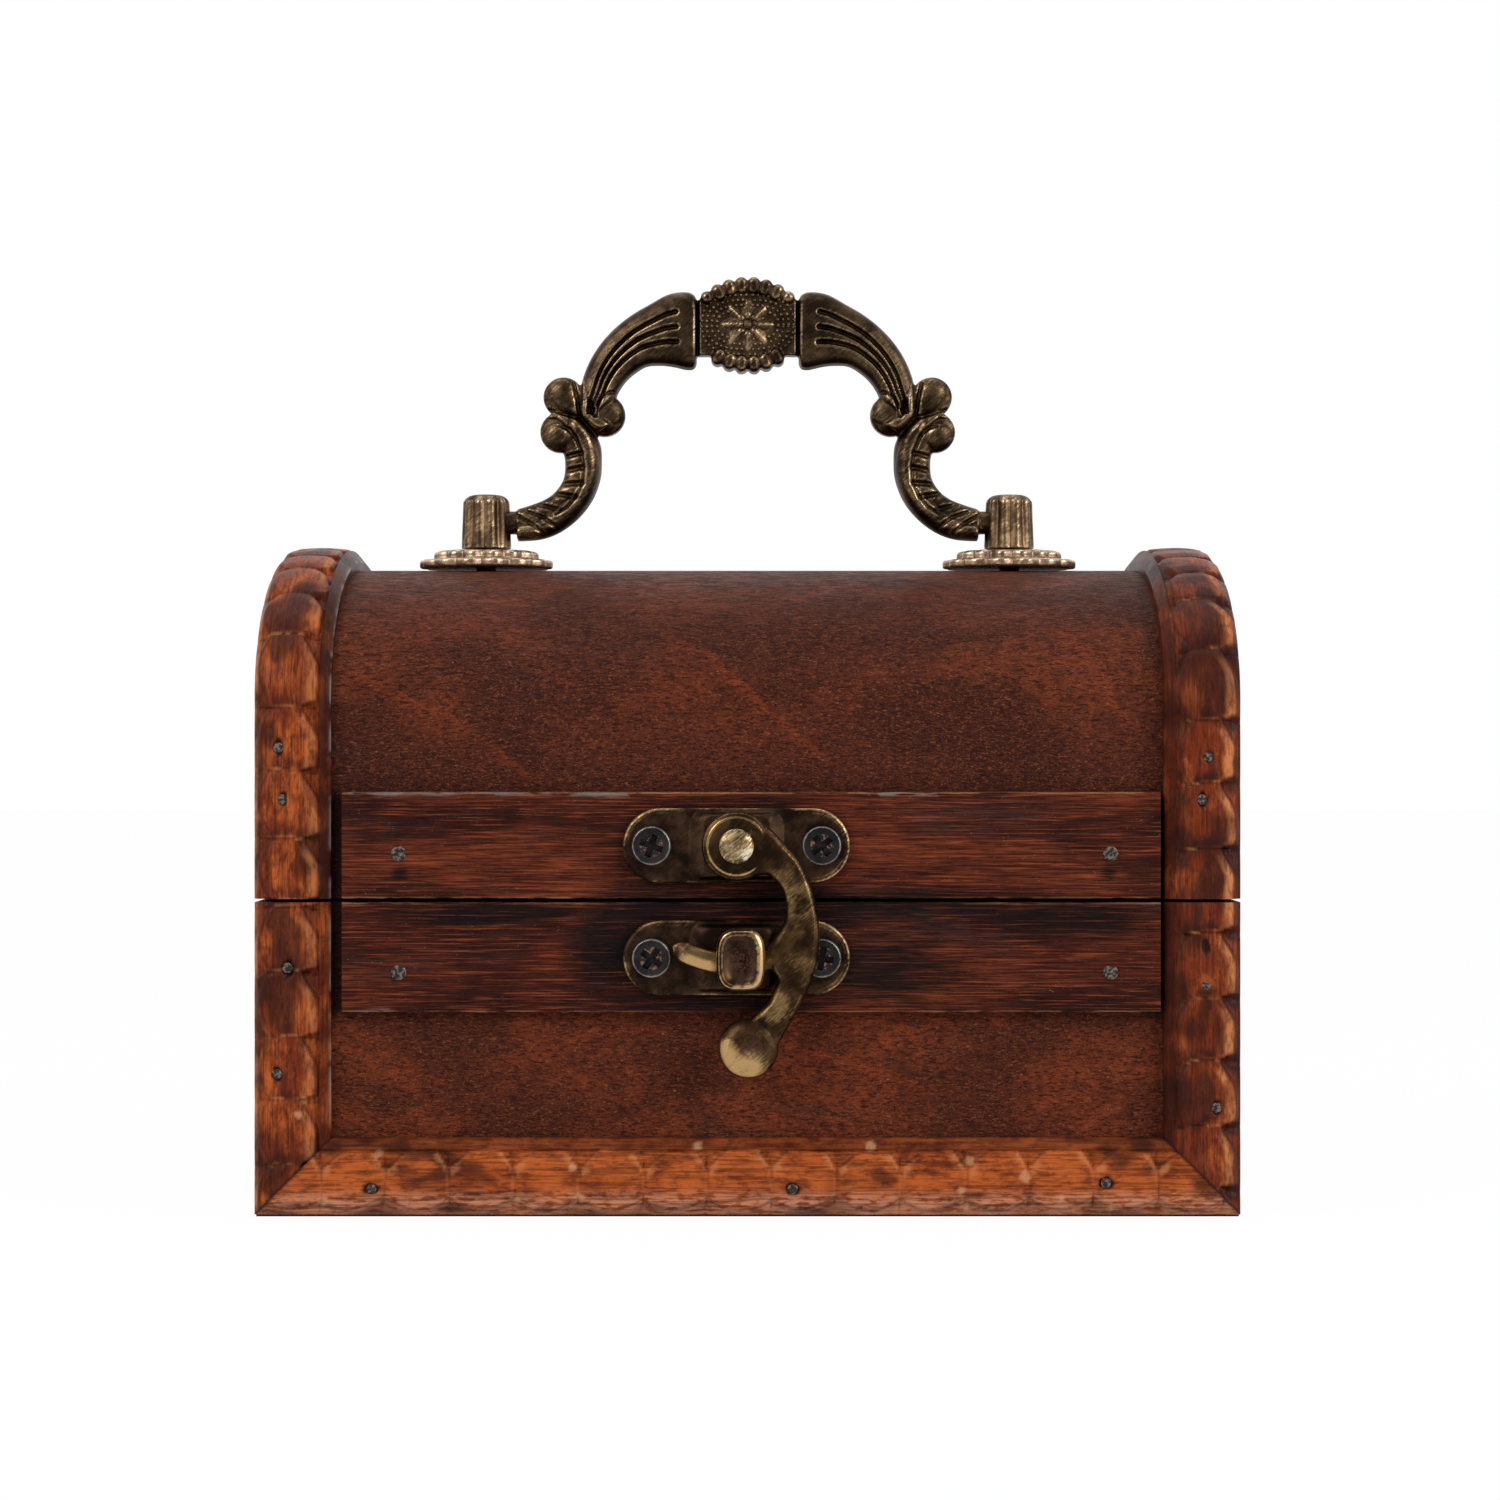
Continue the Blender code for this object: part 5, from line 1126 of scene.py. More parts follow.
rivet_shape = bmesh.new()
rivet_radius = (rivet_high.x - rivet_low.x) / 2
rivet_profile = [(0.001, -0.003), (0.001, -0.0009), (rivet_radius - 0.0002, -0.0009), (rivet_radius, -0.0007)]
for rivet_step in range(9):
    rivet_turn = math.radians(10.0 * rivet_step)
    rivet_profile.append((rivet_radius * math.cos(rivet_turn) + 0.00002, -0.0007 + 0.0007 * math.sin(rivet_turn)))
turned(rivet_shape, rivet_profile, 48, facing_front(hook_origin.x, -rivet_low.y, hook_origin.z))
rivet = fuse("dome_rivet", rivet_shape, RIVET_VOXEL)
# A painted highlight on the rivet head's lower right edge.
rub(rivet, hook_origin, (0.0015, -0.001, 0.0012, 1.0))
rub(rivet, hook_origin, (-0.0002, 0.0, 0.0014, 0.5), layer="grit")
rivet_brass = make_brass_material("rubbed rivet brass", (0.07, 0.045, 0.02), (0.37, 0.26, 0.12),
                                  (0.8, 0.68, 0.48), 0.9, 2.0)
settle(rivet, "lid", ("latch_rivet",), rivet_brass)

post_low, post_high, _ = box_of("catch_post")
catch_shape = bmesh.new()
head_centre = (post_low + post_high) / 2
HEAD_HALF_WIDTH = 0.0029
HEAD_HALF_HEIGHT = 0.00368
# Inset and depth of the catch head's outline, a tall rounded square, from its back to its hollow face
HEAD_RINGS = (
    (0.0004, 0.0016), (0.0, 0.0013), (0.0, 0.0006), (0.0003, 0.00015), (0.0007, 0.0), (0.001, 0.0001),
    (0.0014, 0.00035), (0.002, 0.0005))

# Painted highlights along the head's right and lower rim: (across, up) as shares of its half sizes, and strength
HEAD_HIGHLIGHTS = (
    (0.72, 0.9, 0.9), (0.92, 0.66, 1.0), (0.99, 0.36, 1.0), (1.0, 0.05, 1.0), (1.0, -0.26, 1.0),
    (0.95, -0.58, 1.0), (0.76, -0.86, 0.9), (0.35, -0.98, 0.8), (-0.15, -1.0, 0.6))


def swollen(value):
    """A cosine or sine that makes a rounded square of a circle."""
    return math.copysign(abs(value) ** 0.62, value)


loft(catch_shape, [[(head_centre.x + swollen(x) * (HEAD_HALF_WIDTH - inset), post_low.y + depth,
                     head_centre.z + swollen(z) * (HEAD_HALF_HEIGHT - inset)) for x, z in ring_points(64)]
                   for inset, depth in HEAD_RINGS])
neck_matrix = Matrix.Translation((head_centre.x, (post_low.y + post_high.y) / 2 + 0.0003, post_low.z + 0.00095))
neck_matrix = neck_matrix @ Matrix.Diagonal((0.0038, post_high.y - post_low.y - 0.0006, 0.0013, 1.0))
bmesh.ops.create_cube(catch_shape, size=1.0, matrix=neck_matrix)
catch = fuse("catch_post_cast", catch_shape, CATCH_VOXEL)
# Painted highlights along the catch head's right and lower rim
rub(catch, head_centre, *((HEAD_HALF_WIDTH * across, HEAD_HALF_HEIGHT * up, 0.0013, strength)
                          for across, up, strength in HEAD_HIGHLIGHTS))
rub(catch, head_centre, (0.0, 0.0, 0.0021, 1.0), layer="grit")
settle(catch, "base", ("catch_post",), brass_material)


# Screws: small blackened round-headed screws with a cross recess, four in the latch plates.
# They sit a little crooked, and the recess edges show bare metal.
SCREW_RADIUS = 0.00235
SCREW_DOME = 0.0006
SCREW_CROSS = (0.0028, 0.00078, 0.0015)
SCREW_TURNS = (20.0, 52.0, 35.0, 10.0)
SCREW_VOXEL = 0.00011
SCREW_EDGE_REACH = 0.00003
SLOT_SPREAD = 0.0017
GRIT_SPREAD = 0.0014


def make_screw_material():
    material, place = new_material("blackened screw", 0.7)
    patina, colour = tarnished(place, (0.007, 0.0065, 0.007), (0.026, 0.021, 0.02), (0.27, 0.245, 0.225), 0.95, 0.5)
    grit = mark(place, "grit") * between(patina["Grit"], 0.5, 0.6)
    # Painted shade: the cross recess is coloured near black.
    slot = mark(place, "slot") * between(patina["Tone"], 0.75, 0.55, 0.35, 1.0)
    colour = coated(colour, (grit, 0.85, (0.25, 0.115, 0.085)), (slot, 0.95, (0.0015, 0.001, 0.001)))
    return finished(material, colour, 0.38, patina["Grit"], 0.00004, 0.6)


screw_material = make_screw_material()


def screw_head():
    """One screw head as a fused mesh about the origin, facing -Y."""
    shape = bmesh.new()
    profile = [(SCREW_RADIUS - 0.0002, -0.0004), (SCREW_RADIUS, 0.0), (SCREW_RADIUS, 0.0003),
               (SCREW_RADIUS - 0.00006, SCREW_DOME - 0.0001), (SCREW_RADIUS - 0.00016, SCREW_DOME - 0.00002),
               (SCREW_RADIUS - 0.0004, SCREW_DOME), (0.0012, SCREW_DOME)]
    turned(shape, profile, 56, facing_front(0.0, 0.0, 0.0))
    head = fuse("screw_head", shape, SCREW_VOXEL, 1)
    for turn in (0.0, 90.0):
        slot_shape = bmesh.new()
        matrix = facing_front(0.0, SCREW_DOME, 0.0) @ Matrix.Rotation(math.radians(turn), 4, "Z")
        bmesh.ops.create_cube(slot_shape, size=1.0, matrix=matrix @ Matrix.Diagonal((*SCREW_CROSS, 1.0)))
        slot = add_form("slot", slot_shape)
        cutter = head.modifiers.new("slot", "BOOLEAN")
        cutter.operation = "DIFFERENCE"
        cutter.object = slot
        applied(head)
        bpy.data.objects.remove(slot)
    if "edge" in head.data.attributes:
        head.data.attributes.remove(head.data.attributes["edge"])
    mark_edges(head.data, SCREW_EDGE_REACH)
    for key in ("slot", "grit"):
        head.data.attributes.new(key, "FLOAT", "POINT")
    slots, grits, edges = (head.data.attributes[key].data for key in ("slot", "grit", "edge"))
    for index, vert in enumerate(head.data.vertices):
        reach = math.hypot(vert.co.x, vert.co.z)
        sunk = reach < SLOT_SPREAD and -vert.co.y < SCREW_DOME - 0.00012
        slots[index].value = 1.0 if sunk else 0.0
        grits[index].value = 0.0 if sunk or reach > GRIT_SPREAD else 1.0
        if reach < 0.0018:
            edges[index].value *= 0.35
        elif reach > SCREW_RADIUS - 0.0001 and -vert.co.y < 0.0003:
            edges[index].value = 0.9
    return smoothed(head, 40.0)


def make_scatter_tree():
    """Geometry Nodes: set one model on every point, turned by the point's own angle about Y."""
    tree, given, result = new_tree("set on points", "Geometry", {"Geometry": "Geometry", "Model": "Object",
                                                                 "Material": "Material"}, {"Geometry": "Geometry"})
    model = add_node(tree, "GeometryNodeObjectInfo", {"Object": given["Model"]})["Geometry"]
    placed = add_node(tree, "GeometryNodeInstanceOnPoints",
                      {"Points": given["Geometry"], "Instance": model,
                       "Rotation": stored(tree, "turn", "FLOAT_VECTOR"), "Scale": stored(tree, "size")})[0]
    return finish_tree(result, placed, given["Material"])


scatter_tree = make_scatter_tree()


def set_on_points(name, model, places, material, body, replaced):
    """Place copies of a model at (point, turn, size), keep them as one plain mesh, and settle it."""
    mesh = bpy.data.meshes.new(name)
    mesh.from_pydata([point for point, _, _ in places], [], [])
    turns = mesh.attributes.new("turn", "FLOAT_VECTOR", "POINT")
    turns.data.foreach_set("vector", [value for _, turn, _ in places for value in turn])
    sizes = mesh.attributes.new("size", "FLOAT", "POINT")
    sizes.data.foreach_set("value", [size for _, _, size in places])
    thing = run_tree(add_object(name, mesh), scatter_tree, {"Model": model, "Material": material})
    settle(thing, body, replaced)


def head_place(node_name, height, turn, size):
    """A fastener's place over its node's lowest front point."""
    low, _, (x, _, z) = box_of(node_name)
    return (x, low.y + height, z), (0.0, turn, 0.0), size


screw_model = screw_head()
for body_name, prefix, screw_turns in (("lid", "latch", SCREW_TURNS[:2]), ("base", "catch", SCREW_TURNS[2:])):
    screw_nodes = (f"{prefix}_screw_left", f"{prefix}_screw_right")
    set_on_points(f"{prefix}_screws", screw_model,
                  [head_place(node_name, SCREW_DOME, math.radians(turn), 1.0)
                   for node_name, turn in zip(screw_nodes, screw_turns)],
                  screw_material, body_name, screw_nodes)
bpy.data.objects.remove(screw_model)


# Nails and brads: thin wire nails through the battens and the carved strips, punched a little under.
# Each leaves a small dark square pit with a dull metal face in it.
NAIL_MODEL_RADIUS = 0.00075
NAIL_DARK = (0.02, 0.013, 0.01)
NAIL_PALE = (0.15, 0.115, 0.095)
# Brads in the front strips, as (x, z) in metres on the front face, and the body that each is in
BRAD_PLACES = (
    (-0.056, 0.0563, "lid"), (-0.0555, 0.0501, "lid"), (-0.0549, 0.03, "base"), (-0.0562, 0.0173, "base"),
    (-0.0449, 0.0036, "base"), (0.0054, 0.0036, "base"), (0.0428, 0.0043, "base"), (0.055, 0.0552, "lid"),
    (0.0543, 0.0501, "lid"), (0.0548, 0.028, "base"), (0.056, 0.0133, "base"))


def make_nail_material():
    material, place = new_material("dull nail", 0.6)
    cloud = stretched_noise(place, 2400.0, 2.0)
    return finished(material, blend(between(cloud, 0.45, 0.6), NAIL_DARK, NAIL_PALE), 0.55, cloud, 0.0001, 0.8)


nail_material = make_nail_material()
nail_shape = bmesh.new()
turned(nail_shape, ((NAIL_MODEL_RADIUS * 0.9, -0.0006), (NAIL_MODEL_RADIUS, 0.0), (NAIL_MODEL_RADIUS * 0.8, 0.00012),
                    (NAIL_MODEL_RADIUS * 0.35, 0.00014)), 10, facing_front(0.0, 0.0, 0.0))
nail_model = add_form("nail_model", nail_shape)
strip_face = panel_front + STRIP_SEAT + STRIP_THICKNESS
for body_name in ("lid", "base"):
    nail_nodes = (f"{body_name}_nail_left", f"{body_name}_nail_right")
    nail_places = [head_place(node_name, 0.0006, 0.6, 1.25) for node_name in nail_nodes]
    nail_places += [((x, -strip_face + 0.0002, z), (0.0, x * 70.0, 0.0), 0.85)
                    for x, z, home in BRAD_PLACES if home == body_name]
    set_on_points(f"{body_name}_front_nails", nail_model, nail_places, nail_material, body_name, nail_nodes)
bpy.data.objects.remove(nail_model)
dress(nail_material, "hinge_left_pin", "hinge_right_pin", "handle_screw_left", "handle_screw_right",
      *(f"hinge_{side_name}_{body_name}_nail_{number}"
        for side_name in SIDES for body_name in ("lid", "base") for number in (1, 2)))


# Hinges: two small butt hinges on the back battens, stamped from the same brass.
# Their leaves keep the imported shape, with the patina on it.
dress(brass_material, *(f"hinge_{side_name}_{body_name}_leaf" for side_name in SIDES for body_name in ("base", "lid")))


# Handle posts: fluted brass posts on two-tier scalloped rosettes, screwed down from inside the lid.
# The pivot bore of each post faces the bail.
POST_VOXEL = 0.00015
ROSETTE_LOBES = 14
ROSETTE_LOBE_DEPTH = 0.0008
POST_FLUTES = 10
PIVOT_HEIGHT = next(joint for joint in frame["joints"] if joint["name"] == "handle_pivot")["pos_m"][2]
# Each ring of a rosette: inset from its edge or radius, height, and how deep its lobes are cut
ROSETTE_EDGE = ((0.0002, 0.0, 1.0), (0.0, 0.0002, 1.0), (0.0, 0.0009, 1.0), (0.0002, 0.0011, 0.9))
ROSETTE_TOP = (
    (0.0066, 0.00115, 0.9), (0.0068, 0.0013, 1.0), (0.0068, 0.0019, 1.0), (0.0066, 0.00215, 0.9),
    (0.006, 0.0023, 0.6), (0.0048, 0.0023, 0.2))
# Each ring of a post: share of its height, radius, and depth of its flutes
POST_RINGS = (
    (0.0, 0.00325, 0.0003), (0.06, 0.00322, 0.0004), (0.5, 0.0031, 0.0005), (0.86, 0.00302, 0.0005),
    (0.9, 0.0029, 0.0004), (0.95, 0.00255, 0.0003), (0.985, 0.00215, 0.0001), (1.0, 0.0017, 0.0))


def scalloped(name, node_name, lobes, rings, material):
    """A cast form of (radius, height, depth of lobes) rings about the upright axis of its node."""
    _, _, (cx, _, _) = box_of(node_name)
    shape = bmesh.new()
    rows = []
    for radius, z, depth in rings:
        row = []
        for side in range(144):
            turn = math.tau * side / 144
            reach = radius - depth * (1.0 - abs(math.cos(lobes * turn / 2)))
            row.append((cx + reach * math.cos(turn), reach * math.sin(turn), z))
        rows.append(row)
    loft(shape, rows)
    settle(fuse(name, shape, POST_VOXEL, 1), "lid", (node_name,), material)


post_brass = make_brass_material("rubbed post brass", (0.06, 0.035, 0.019), (0.21, 0.13, 0.07),
                                 (0.5, 0.37, 0.23), 0.8)
# A paler copy of the posts' brass: painted light on the rosettes, which are the same metal.
rosette_brass = make_brass_material("rubbed rosette brass", (0.16, 0.103, 0.068), (0.44, 0.3, 0.2),
                                    (0.6, 0.46, 0.31), 0.8)
for side_name in ("left", "right"):
    low, high, _ = box_of(f"handle_rosette_{side_name}")
    rosette_rings = [((high.x - low.x) / 2 - inset, height, cut) for inset, height, cut in ROSETTE_EDGE]
    scalloped(f"scalloped_rosette_{side_name}", f"handle_rosette_{side_name}", ROSETTE_LOBES,
              [(radius, low.z + height, ROSETTE_LOBE_DEPTH * cut)
               for radius, height, cut in (*rosette_rings, *ROSETTE_TOP)], rosette_brass)
    low, high, _ = box_of(f"handle_post_{side_name}")
    scalloped(f"fluted_post_{side_name}", f"handle_post_{side_name}", POST_FLUTES,
              [(radius, low.z + (high.z - low.z) * share, flute) for share, radius, flute in POST_RINGS], post_brass)


# Bail handle: one ornate brass casting with a petalled medallion, fluted arms, scrolls and
# rope-edged curls that end in the pivot pins. It is cast alike on both faces.
BAIL_VOXEL = 0.00017
BAIL_HALF_SPAN = 0.0299
BAIL_RISE = 0.0256
ARM_HALF = 0.0022
CURL_HALF = 0.0017
RELIEF_BASE = 0.002
BAIL_PIN_RADIUS = 0.0015
BAIL_PIN_REACH = 0.0022
ARM_SHARES = (
    ((0.221, 1.12), (0.221, 0.805)), ((0.232, 1.155), (0.232, 0.78)), ((0.27, 1.172), (0.262, 0.774)),
    ((0.345, 1.16), (0.325, 0.79)), ((0.425, 1.11), (0.385, 0.797)), ((0.505, 1.055), (0.44, 0.79)),
    ((0.58, 0.985), (0.49, 0.755)), ((0.645, 0.9), (0.53, 0.712)), ((0.695, 0.8), (0.56, 0.66)),
    ((0.725, 0.69), (0.585, 0.6)), ((0.735, 0.56), (0.635, 0.555)), ((0.7, 0.486), (0.612, 0.53)),
    ((0.65, 0.452), (0.59, 0.5)))
CURL_SHARES = (
    ((0.68, 0.489), (0.803, 0.443)), ((0.64, 0.4), (0.806, 0.385)), ((0.633, 0.31), (0.794, 0.312)),
    ((0.64, 0.215), (0.8, 0.225)), ((0.675, 0.11), (0.836, 0.158)), ((0.735, 0.02), (0.88, 0.12)),
    ((0.815, -0.05), (0.925, 0.098)), ((0.9, -0.086), (0.965, 0.082)), ((1.0, -0.094), (1.0, 0.07)))
BAIL_WORN = (0.3, 0.205, 0.115)
# Balls of the scrolls: place as shares of the half span and the rise, then radius and half thickness
BALLS = (
    ((0.622, 0.543), 0.0027, 0.0017), ((0.799, 0.634), 0.0026, 0.0018), ((0.813, 0.457), 0.0026, 0.0017),
    ((0.712, 0.53), 0.0018, 0.0017), ((0.745, 0.6), 0.0018, 0.0017), ((0.735, 0.48), 0.0018, 0.0017))
ARM_SECTION = [(step / 32, math.sqrt(max(0.0, 1.0 - (2.0 * step / 32 - 1.0) ** 4))) for step in range(33)]
# Relief of the casting in mm: height, then (out from the middle, up from the pivot, half width) along each form
CAST_RIDGES = (
    (0.5, ((21.96, 19.33, 0.71), (21.73, 17.13, 0.76), (21.34, 15.24, 0.76), (20.71, 13.82, 0.79),
        (19.53, 12.8, 0.87), (18.27, 12.64, 0.94))),
    (0.65, ((17.87, 14.61, 1.97), (17.86, 14.58, 1.97))),
    (0.45, ((24.09, 16.97, 1.65), (23.3, 15.55, 1.38), (22.28, 14.22, 0.47))),
    (0.85, ((25.66, 13.82, 0.39), (24.72, 13.98, 0.5), (23.77, 13.51, 0.66), (22.59, 12.64, 0.82),
        (21.65, 11.62, 0.98), (20.86, 10.36, 1.1), (20.44, 8.63, 1.18), (20.31, 6.74, 1.23), (20.66, 4.85, 1.2),
        (21.49, 3.2, 1.18), (22.75, 1.71, 1.18), (24.4, 0.37, 1.26), (26.13, -0.65, 1.23), (27.71, -1.28, 1.02),
        (29.75, -1.44, 0.87))),
    (0.55, ((24.8, 11.12, 1.7), (24.78, 11.08, 1.7))))
CAST_GROOVES = (
    (0.65, ((22.47, 18.07, 0.35), (22.12, 16.34, 0.35), (21.78, 13.74, 0.35))),
    (0.6, ((25.66, 14.58, 0.28), (23.77, 13.95, 0.31), (21.78, 13.59, 0.35))),
    (0.6, ((21.49, 13.43, 0.35), (20.66, 12.41, 0.44), (19.45, 11.15, 0.41))),
    (0.75, ((20.34, 15.55, 0.31), (20.11, 14.14, 0.35), (19.71, 13.63, 0.35), (19.45, 14.77, 0.28),
        (18.97, 16.02, 0.25))),
    (0.4, ((19.4, 15.0, 0.22), (19.13, 15.79, 0.22), (18.5, 16.5, 0.22), (17.72, 16.87, 0.22),
        (16.77, 16.84, 0.22))),
    (0.55, ((24.48, 12.48, 0.28), (22.99, 12.01, 0.31), (22.17, 10.83, 0.35), (21.54, 9.26, 0.35),
        (21.29, 7.53, 0.35), (21.38, 5.32, 0.35), (22.07, 3.59, 0.35), (23.3, 1.99, 0.35), (24.8, 1.11, 0.31))),
    (0.6, ((23.79, 8.44, 0.5), (21.54, 8.98, 0.5))),
    (0.6, ((23.79, 6.62, 0.54), (21.38, 7.12, 0.54))),
    (0.6, ((24.05, 4.92, 0.57), (21.49, 5.07, 0.57))),
    (0.6, ((25.31, 3.76, 0.57), (22.36, 3.28, 0.57))),
    (0.5, ((27.04, 2.3, 0.54), (24.4, 1.55, 0.54))),
    (0.45, ((28.42, 1.31, 0.41), (26.45, 0.6, 0.41), (24.64, -0.73, 0.38))),
    (0.45, ((29.75, 0.84, 0.41), (28.18, -0.1, 0.41), (26.45, -1.44, 0.38))),
    (1.1, ((6.5, 29.6, 0.3), (6.5, 20.6, 0.3))))
# Grooves between the arm's reeds: where each starts and ends across the arm
REED_GROOVES = ((0.27, 0.42), (0.47, 0.53), (0.67, 0.64))
REED_START, REED_END = 0.22, 0.84
ARC_RADIUS = 9.14
ARC_DROP = 2.9
PETAL_RADIUS = 0.84
PETAL_LENGTH = 2.3
# Inset and depth of a petal's rings, from its back to its face
PETAL_PROFILE = [(inset / 1000.0, side * depth / 1000.0) for side, rings in (
    (-1, ((0.66, 2.25), (0.4, 2.17), (0.18, 1.98), (0.04, 1.7), (0.0, 1.35))),
    (1, ((0.0, 1.35), (0.04, 1.7), (0.18, 1.98), (0.4, 2.17), (0.66, 2.25)))) for inset, depth in rings]
PETAL_PITCH = math.radians(11.25)
FIELD_HALF_WIDTH, FIELD_HALF_HEIGHT, FIELD_HALF = 6.45, 4.3, 1.55
FIELD_RADIUS = ARC_RADIUS - 1.1
FIELD_SHOULDER, FIELD_CORNER = 3.3, FIELD_HALF_HEIGHT - 0.3
# Rings of the field from its back to its face: share of its outline, and of its half thickness
FIELD_RINGS = ((0.94, -1.0), (0.985, -0.92), (1.0, -0.6), (1.0, 0.6), (0.985, 0.92), (0.94, 1.0))
STAR_REACH, STAR_HOLLOW = 3.4, 1.35
BEAD_RADIUS, BEAD_PITCH = 0.25, 0.66


def nearness(places, path):
    """How far each place lies from a path, as a share of the path's half width there."""
    best = np.full(len(places), 9.0)
    for (ax, az, wide_a), (bx, bz, wide_b) in zip(path, path[1:]):
        reach = max(wide_a, wide_b)
        near = np.flatnonzero((places[:, 0] > min(ax, bx) - reach) & (places[:, 0] < max(ax, bx) + reach)
                              & (places[:, 1] > min(az, bz) - reach) & (places[:, 1] < max(az, bz) + reach))
        along_x, along_z = bx - ax, bz - az
        from_x, from_z = places[near, 0] - ax, places[near, 1] - az
        share = np.clip((from_x * along_x + from_z * along_z) / (along_x ** 2 + along_z ** 2), 0.0, 1.0)
        gap = np.hypot(from_x - share * along_x, from_z - share * along_z)
        best[near] = np.minimum(best[near], gap / (wide_a + share * (wide_b - wide_a)))
    return np.minimum(best, 1.0)


def carve(mesh, height, ridges, grooves, star):
    """Press raised and sunk forms into both faces of a casting, as a share of its thickness."""
    places = rows_of(mesh.vertices, "co")
    flat = np.column_stack((np.abs(places[:, 0]), places[:, 2] - height)) * 1000.0
    relief = np.zeros(len(flat))
    for rise, path in ridges:
        relief = np.maximum(relief, rise * np.sqrt(1.0 - nearness(flat, path) ** 2))
    up, reach, valley, rise = star
    spread = np.hypot(flat[:, 0], flat[:, 1] - up)
    point_share = np.abs((np.arctan2(flat[:, 1] - up, flat[:, 0]) / (math.pi / 4) + 0.5) % 1.0 - 0.5) * 2.0
    facet = 1.0 - spread / (reach + (valley - reach) * point_share)
    relief = np.where(facet > 0.0, np.maximum(relief, 0.15 + rise * facet), relief)
    for depth, path in grooves:
        relief -= depth * (0.5 + 0.5 * np.cos(math.pi * nearness(flat, path)))
    places[:, 1] *= 1.0 + np.maximum(relief, -1.3) / (RELIEF_BASE * 1000.0)
    mesh.vertices.foreach_set("co", places.ravel())
    mesh.update()


def pill(shape, x, z, radius, half, crown, sides=40):
    """Add a short round post along Y with a domed crown at both ends."""
    profile = [(radius * math.cos(turn) + 0.00001, end * (half - crown + crown * abs(math.sin(turn))))
               for end, turns in ((-1, range(-90, 1, 10)), (1, range(0, 91, 10)))
               for turn in (math.radians(angle) for angle in turns)]
    turned(shape, profile, sides, facing_front(x, 0.0, z))


def between_edges(edges, share, across):
    """A point on the arm in mm, by its share along the arm and across it."""
    place = share * (len(edges) - 1)
    index = min(int(place), len(edges) - 2)
    outer, inner = (Vector(edges[index][edge]).lerp(Vector(edges[index + 1][edge]), place - index) for edge in (0, 1))
    point = outer.lerp(inner, across)
    return point.x * BAIL_HALF_SPAN * 1000.0, point.y * BAIL_RISE * 1000.0


arm_edges = refined(ARM_SHARES, 8)
reed_grooves = []
for start_across, end_across in REED_GROOVES:
    groove_path = []
    for groove_step in range(13):
        along = groove_step / 12
        groove_place = between_edges(arm_edges, REED_START + (REED_END - REED_START) * groove_step / 12,
                                     start_across + (end_across - start_across) * along)
        groove_path.append((*groove_place, 0.42 - 0.08 * along))
    reed_grooves.append((0.85, groove_path))
centre_up = BAIL_RISE * 1000.0
star_hollow = [(1.1, ((0.0, centre_up, STAR_HOLLOW), (0.01, centre_up, STAR_HOLLOW)))]
bail_origin = Vector((0.0, 0.0, PIVOT_HEIGHT))
bail_shape = bmesh.new()
medallion_z = PIVOT_HEIGHT + BAIL_RISE
field_outline = []
for end, half_angle in ((1, 40.0), (-1, 34.0)):
    shoulder, foot = (FIELD_SHOULDER, FIELD_CORNER) if end > 0 else (FIELD_CORNER, FIELD_SHOULDER)
    for step in range(25):
        turn = math.radians(half_angle * (1.0 - step / 12)) * end
        field_outline.append((end * FIELD_RADIUS * math.sin(turn), end * (FIELD_RADIUS * math.cos(turn) - ARC_DROP)))
    field_outline += [(-end * FIELD_HALF_WIDTH, end * shoulder), (-end * FIELD_HALF_WIDTH, -end * foot)]
loft(bail_shape, [[(x * shrink / 1000.0, y * FIELD_HALF / 1000.0, medallion_z + z * shrink / 1000.0)
                   for x, z in field_outline] for shrink, y in FIELD_RINGS])
for end, count in ((1, 8), (-1, 6)):
    for petal in range(count):
        turn = (petal - (count - 1) / 2) * PETAL_PITCH
        length = PETAL_LENGTH * (0.75 if abs(turn) > math.radians(35.0) else 1.0)
        radius = (ARC_RADIUS - length / 2) / 1000.0
        middle = Matrix.Translation((radius * math.sin(turn), 0.0,
                                     medallion_z + end * (radius * math.cos(turn) - ARC_DROP / 1000.0)))
        middle = middle @ Matrix.Rotation(turn * end + math.pi / 2, 4, "Y")
        petal_rings = []
        for inset, depth in PETAL_PROFILE:
            outline = obround(length / 1000.0 - 2 * inset, 2 * (PETAL_RADIUS / 1000.0 - inset), 0.0, 0.0, 12)
            petal_rings.append([middle @ Vector((x, depth, z)) for x, z in outline])
        loft(bail_shape, petal_rings)
for side in (-1, 1):
    span = side * BAIL_HALF_SPAN
    band(bail_shape, arm_edges, span, BAIL_RISE, bail_origin, ARM_HALF, ARM_SECTION,
         lambda share, across: -0.0011 * max(0.0, 1.0 - share / 0.1) ** 2)
    band(bail_shape, refined(CURL_SHARES, 8), span, BAIL_RISE, bail_origin, CURL_HALF, ARM_SECTION)
    for (across, up), radius, half in BALLS:
        pill(bail_shape, across * span, PIVOT_HEIGHT + up * BAIL_RISE, radius, half, 0.0009, 56)
    pin_matrix = Matrix.Translation((side * (BAIL_HALF_SPAN - 0.001), 0.0, PIVOT_HEIGHT))
    pin_matrix = pin_matrix @ Matrix.Rotation(math.radians(90.0) * side, 4, "Y")
    turned(bail_shape, ((BAIL_PIN_RADIUS, 0.0), (BAIL_PIN_RADIUS, BAIL_PIN_REACH + 0.0009)), 32, pin_matrix)
bail = fuse("cast_bail", bail_shape, BAIL_VOXEL, 1)
carve(bail.data, PIVOT_HEIGHT, CAST_RIDGES, [*CAST_GROOVES, *reed_grooves, *star_hollow],
      (centre_up, STAR_REACH, 2.05, 1.2))
bail.data.attributes.remove(bail.data.attributes["edge"])
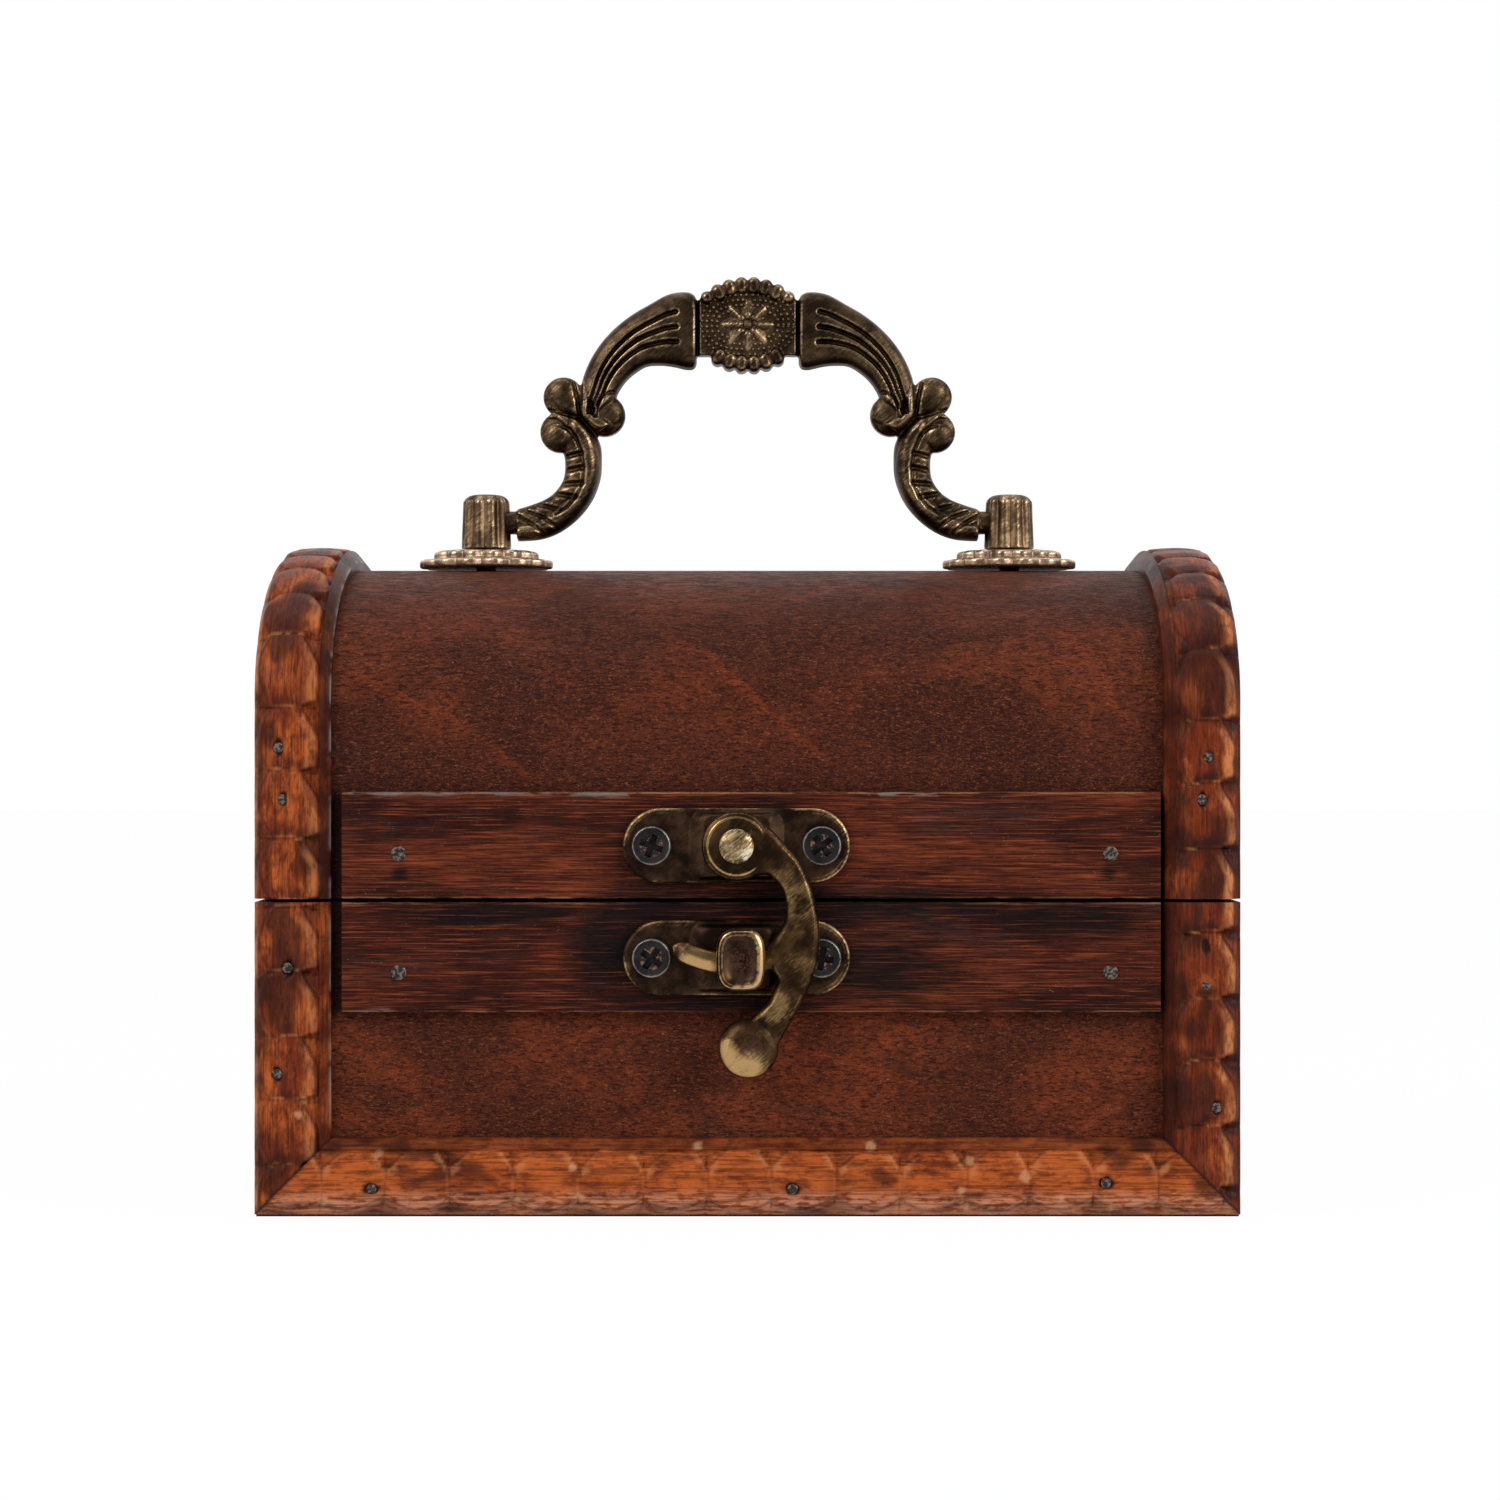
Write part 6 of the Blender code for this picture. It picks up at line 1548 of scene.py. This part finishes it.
mark_edges(bail.data, BAIL_VOXEL * EDGE_REACH)
rub(bail, bail_origin, (0.0, BAIL_RISE, 0.0042, 0.48))
bail_brass = make_brass_material("dark bail brass", (0.022, 0.0135, 0.008), (0.08, 0.05, 0.026), BAIL_WORN, 0.65)
settle(bail, "bail", ("handle_bail",), bail_brass)


# Beads of the medallion's field: rows of small cast grains around the star, with a ball at its centre.
# They are part of the bail's casting, and stand on both of its faces.
bead_shape = bmesh.new()
bmesh.ops.create_uvsphere(bead_shape, u_segments=10, v_segments=7, radius=BEAD_RADIUS / 1000.0)
bead_model = add_form("bead_model", bead_shape)
bead_places = []
for face in (-1, 1):
    bead_places.append(((0.0, face * 0.0014, medallion_z), (0.0, 0.0, 0.0), 3.2))
    for row in range(4):
        row_width, row_height = 5.95 - BEAD_PITCH * row, 3.85 - BEAD_PITCH * row
        reach = 0.0
        for row_step in range(720):
            row_turn = math.tau * row_step / 720
            x = math.copysign(abs(math.cos(row_turn)) ** 0.75, math.cos(row_turn)) * row_width
            z = math.copysign(abs(math.sin(row_turn)) ** 0.75, math.sin(row_turn)) * row_height
            if row_step:
                reach += math.hypot(x - last_x, z - last_z)
            last_x, last_z = x, z
            spread = math.hypot(x, z)
            ray_gap = abs((math.atan2(z, x) / (math.pi / 4) + 0.5) % 1.0 - 0.5) * spread * math.pi / 4
            if reach >= BEAD_PITCH or not row_step:
                reach = 0.0
                if spread > STAR_REACH + 0.15 or (spread > 1.9 and ray_gap > (STAR_REACH + 0.1 - spread) * 0.42 + 0.12):
                    bead_places.append(((x / 1000.0, face * (FIELD_HALF + 0.06) / 1000.0, medallion_z + z / 1000.0),
                                        (0.0, 0.0, 0.0), 0.92 + 0.16 * math.sin(row_step * 7.3 + row)))
bead_brass = make_brass_material("medallion bead brass", (0.06, 0.038, 0.022), (0.17, 0.11, 0.062),
                                 BAIL_WORN, 0.0)
set_on_points("medallion_beads", bead_model, bead_places, bead_brass, "bail", ())
bpy.data.objects.remove(bead_model)
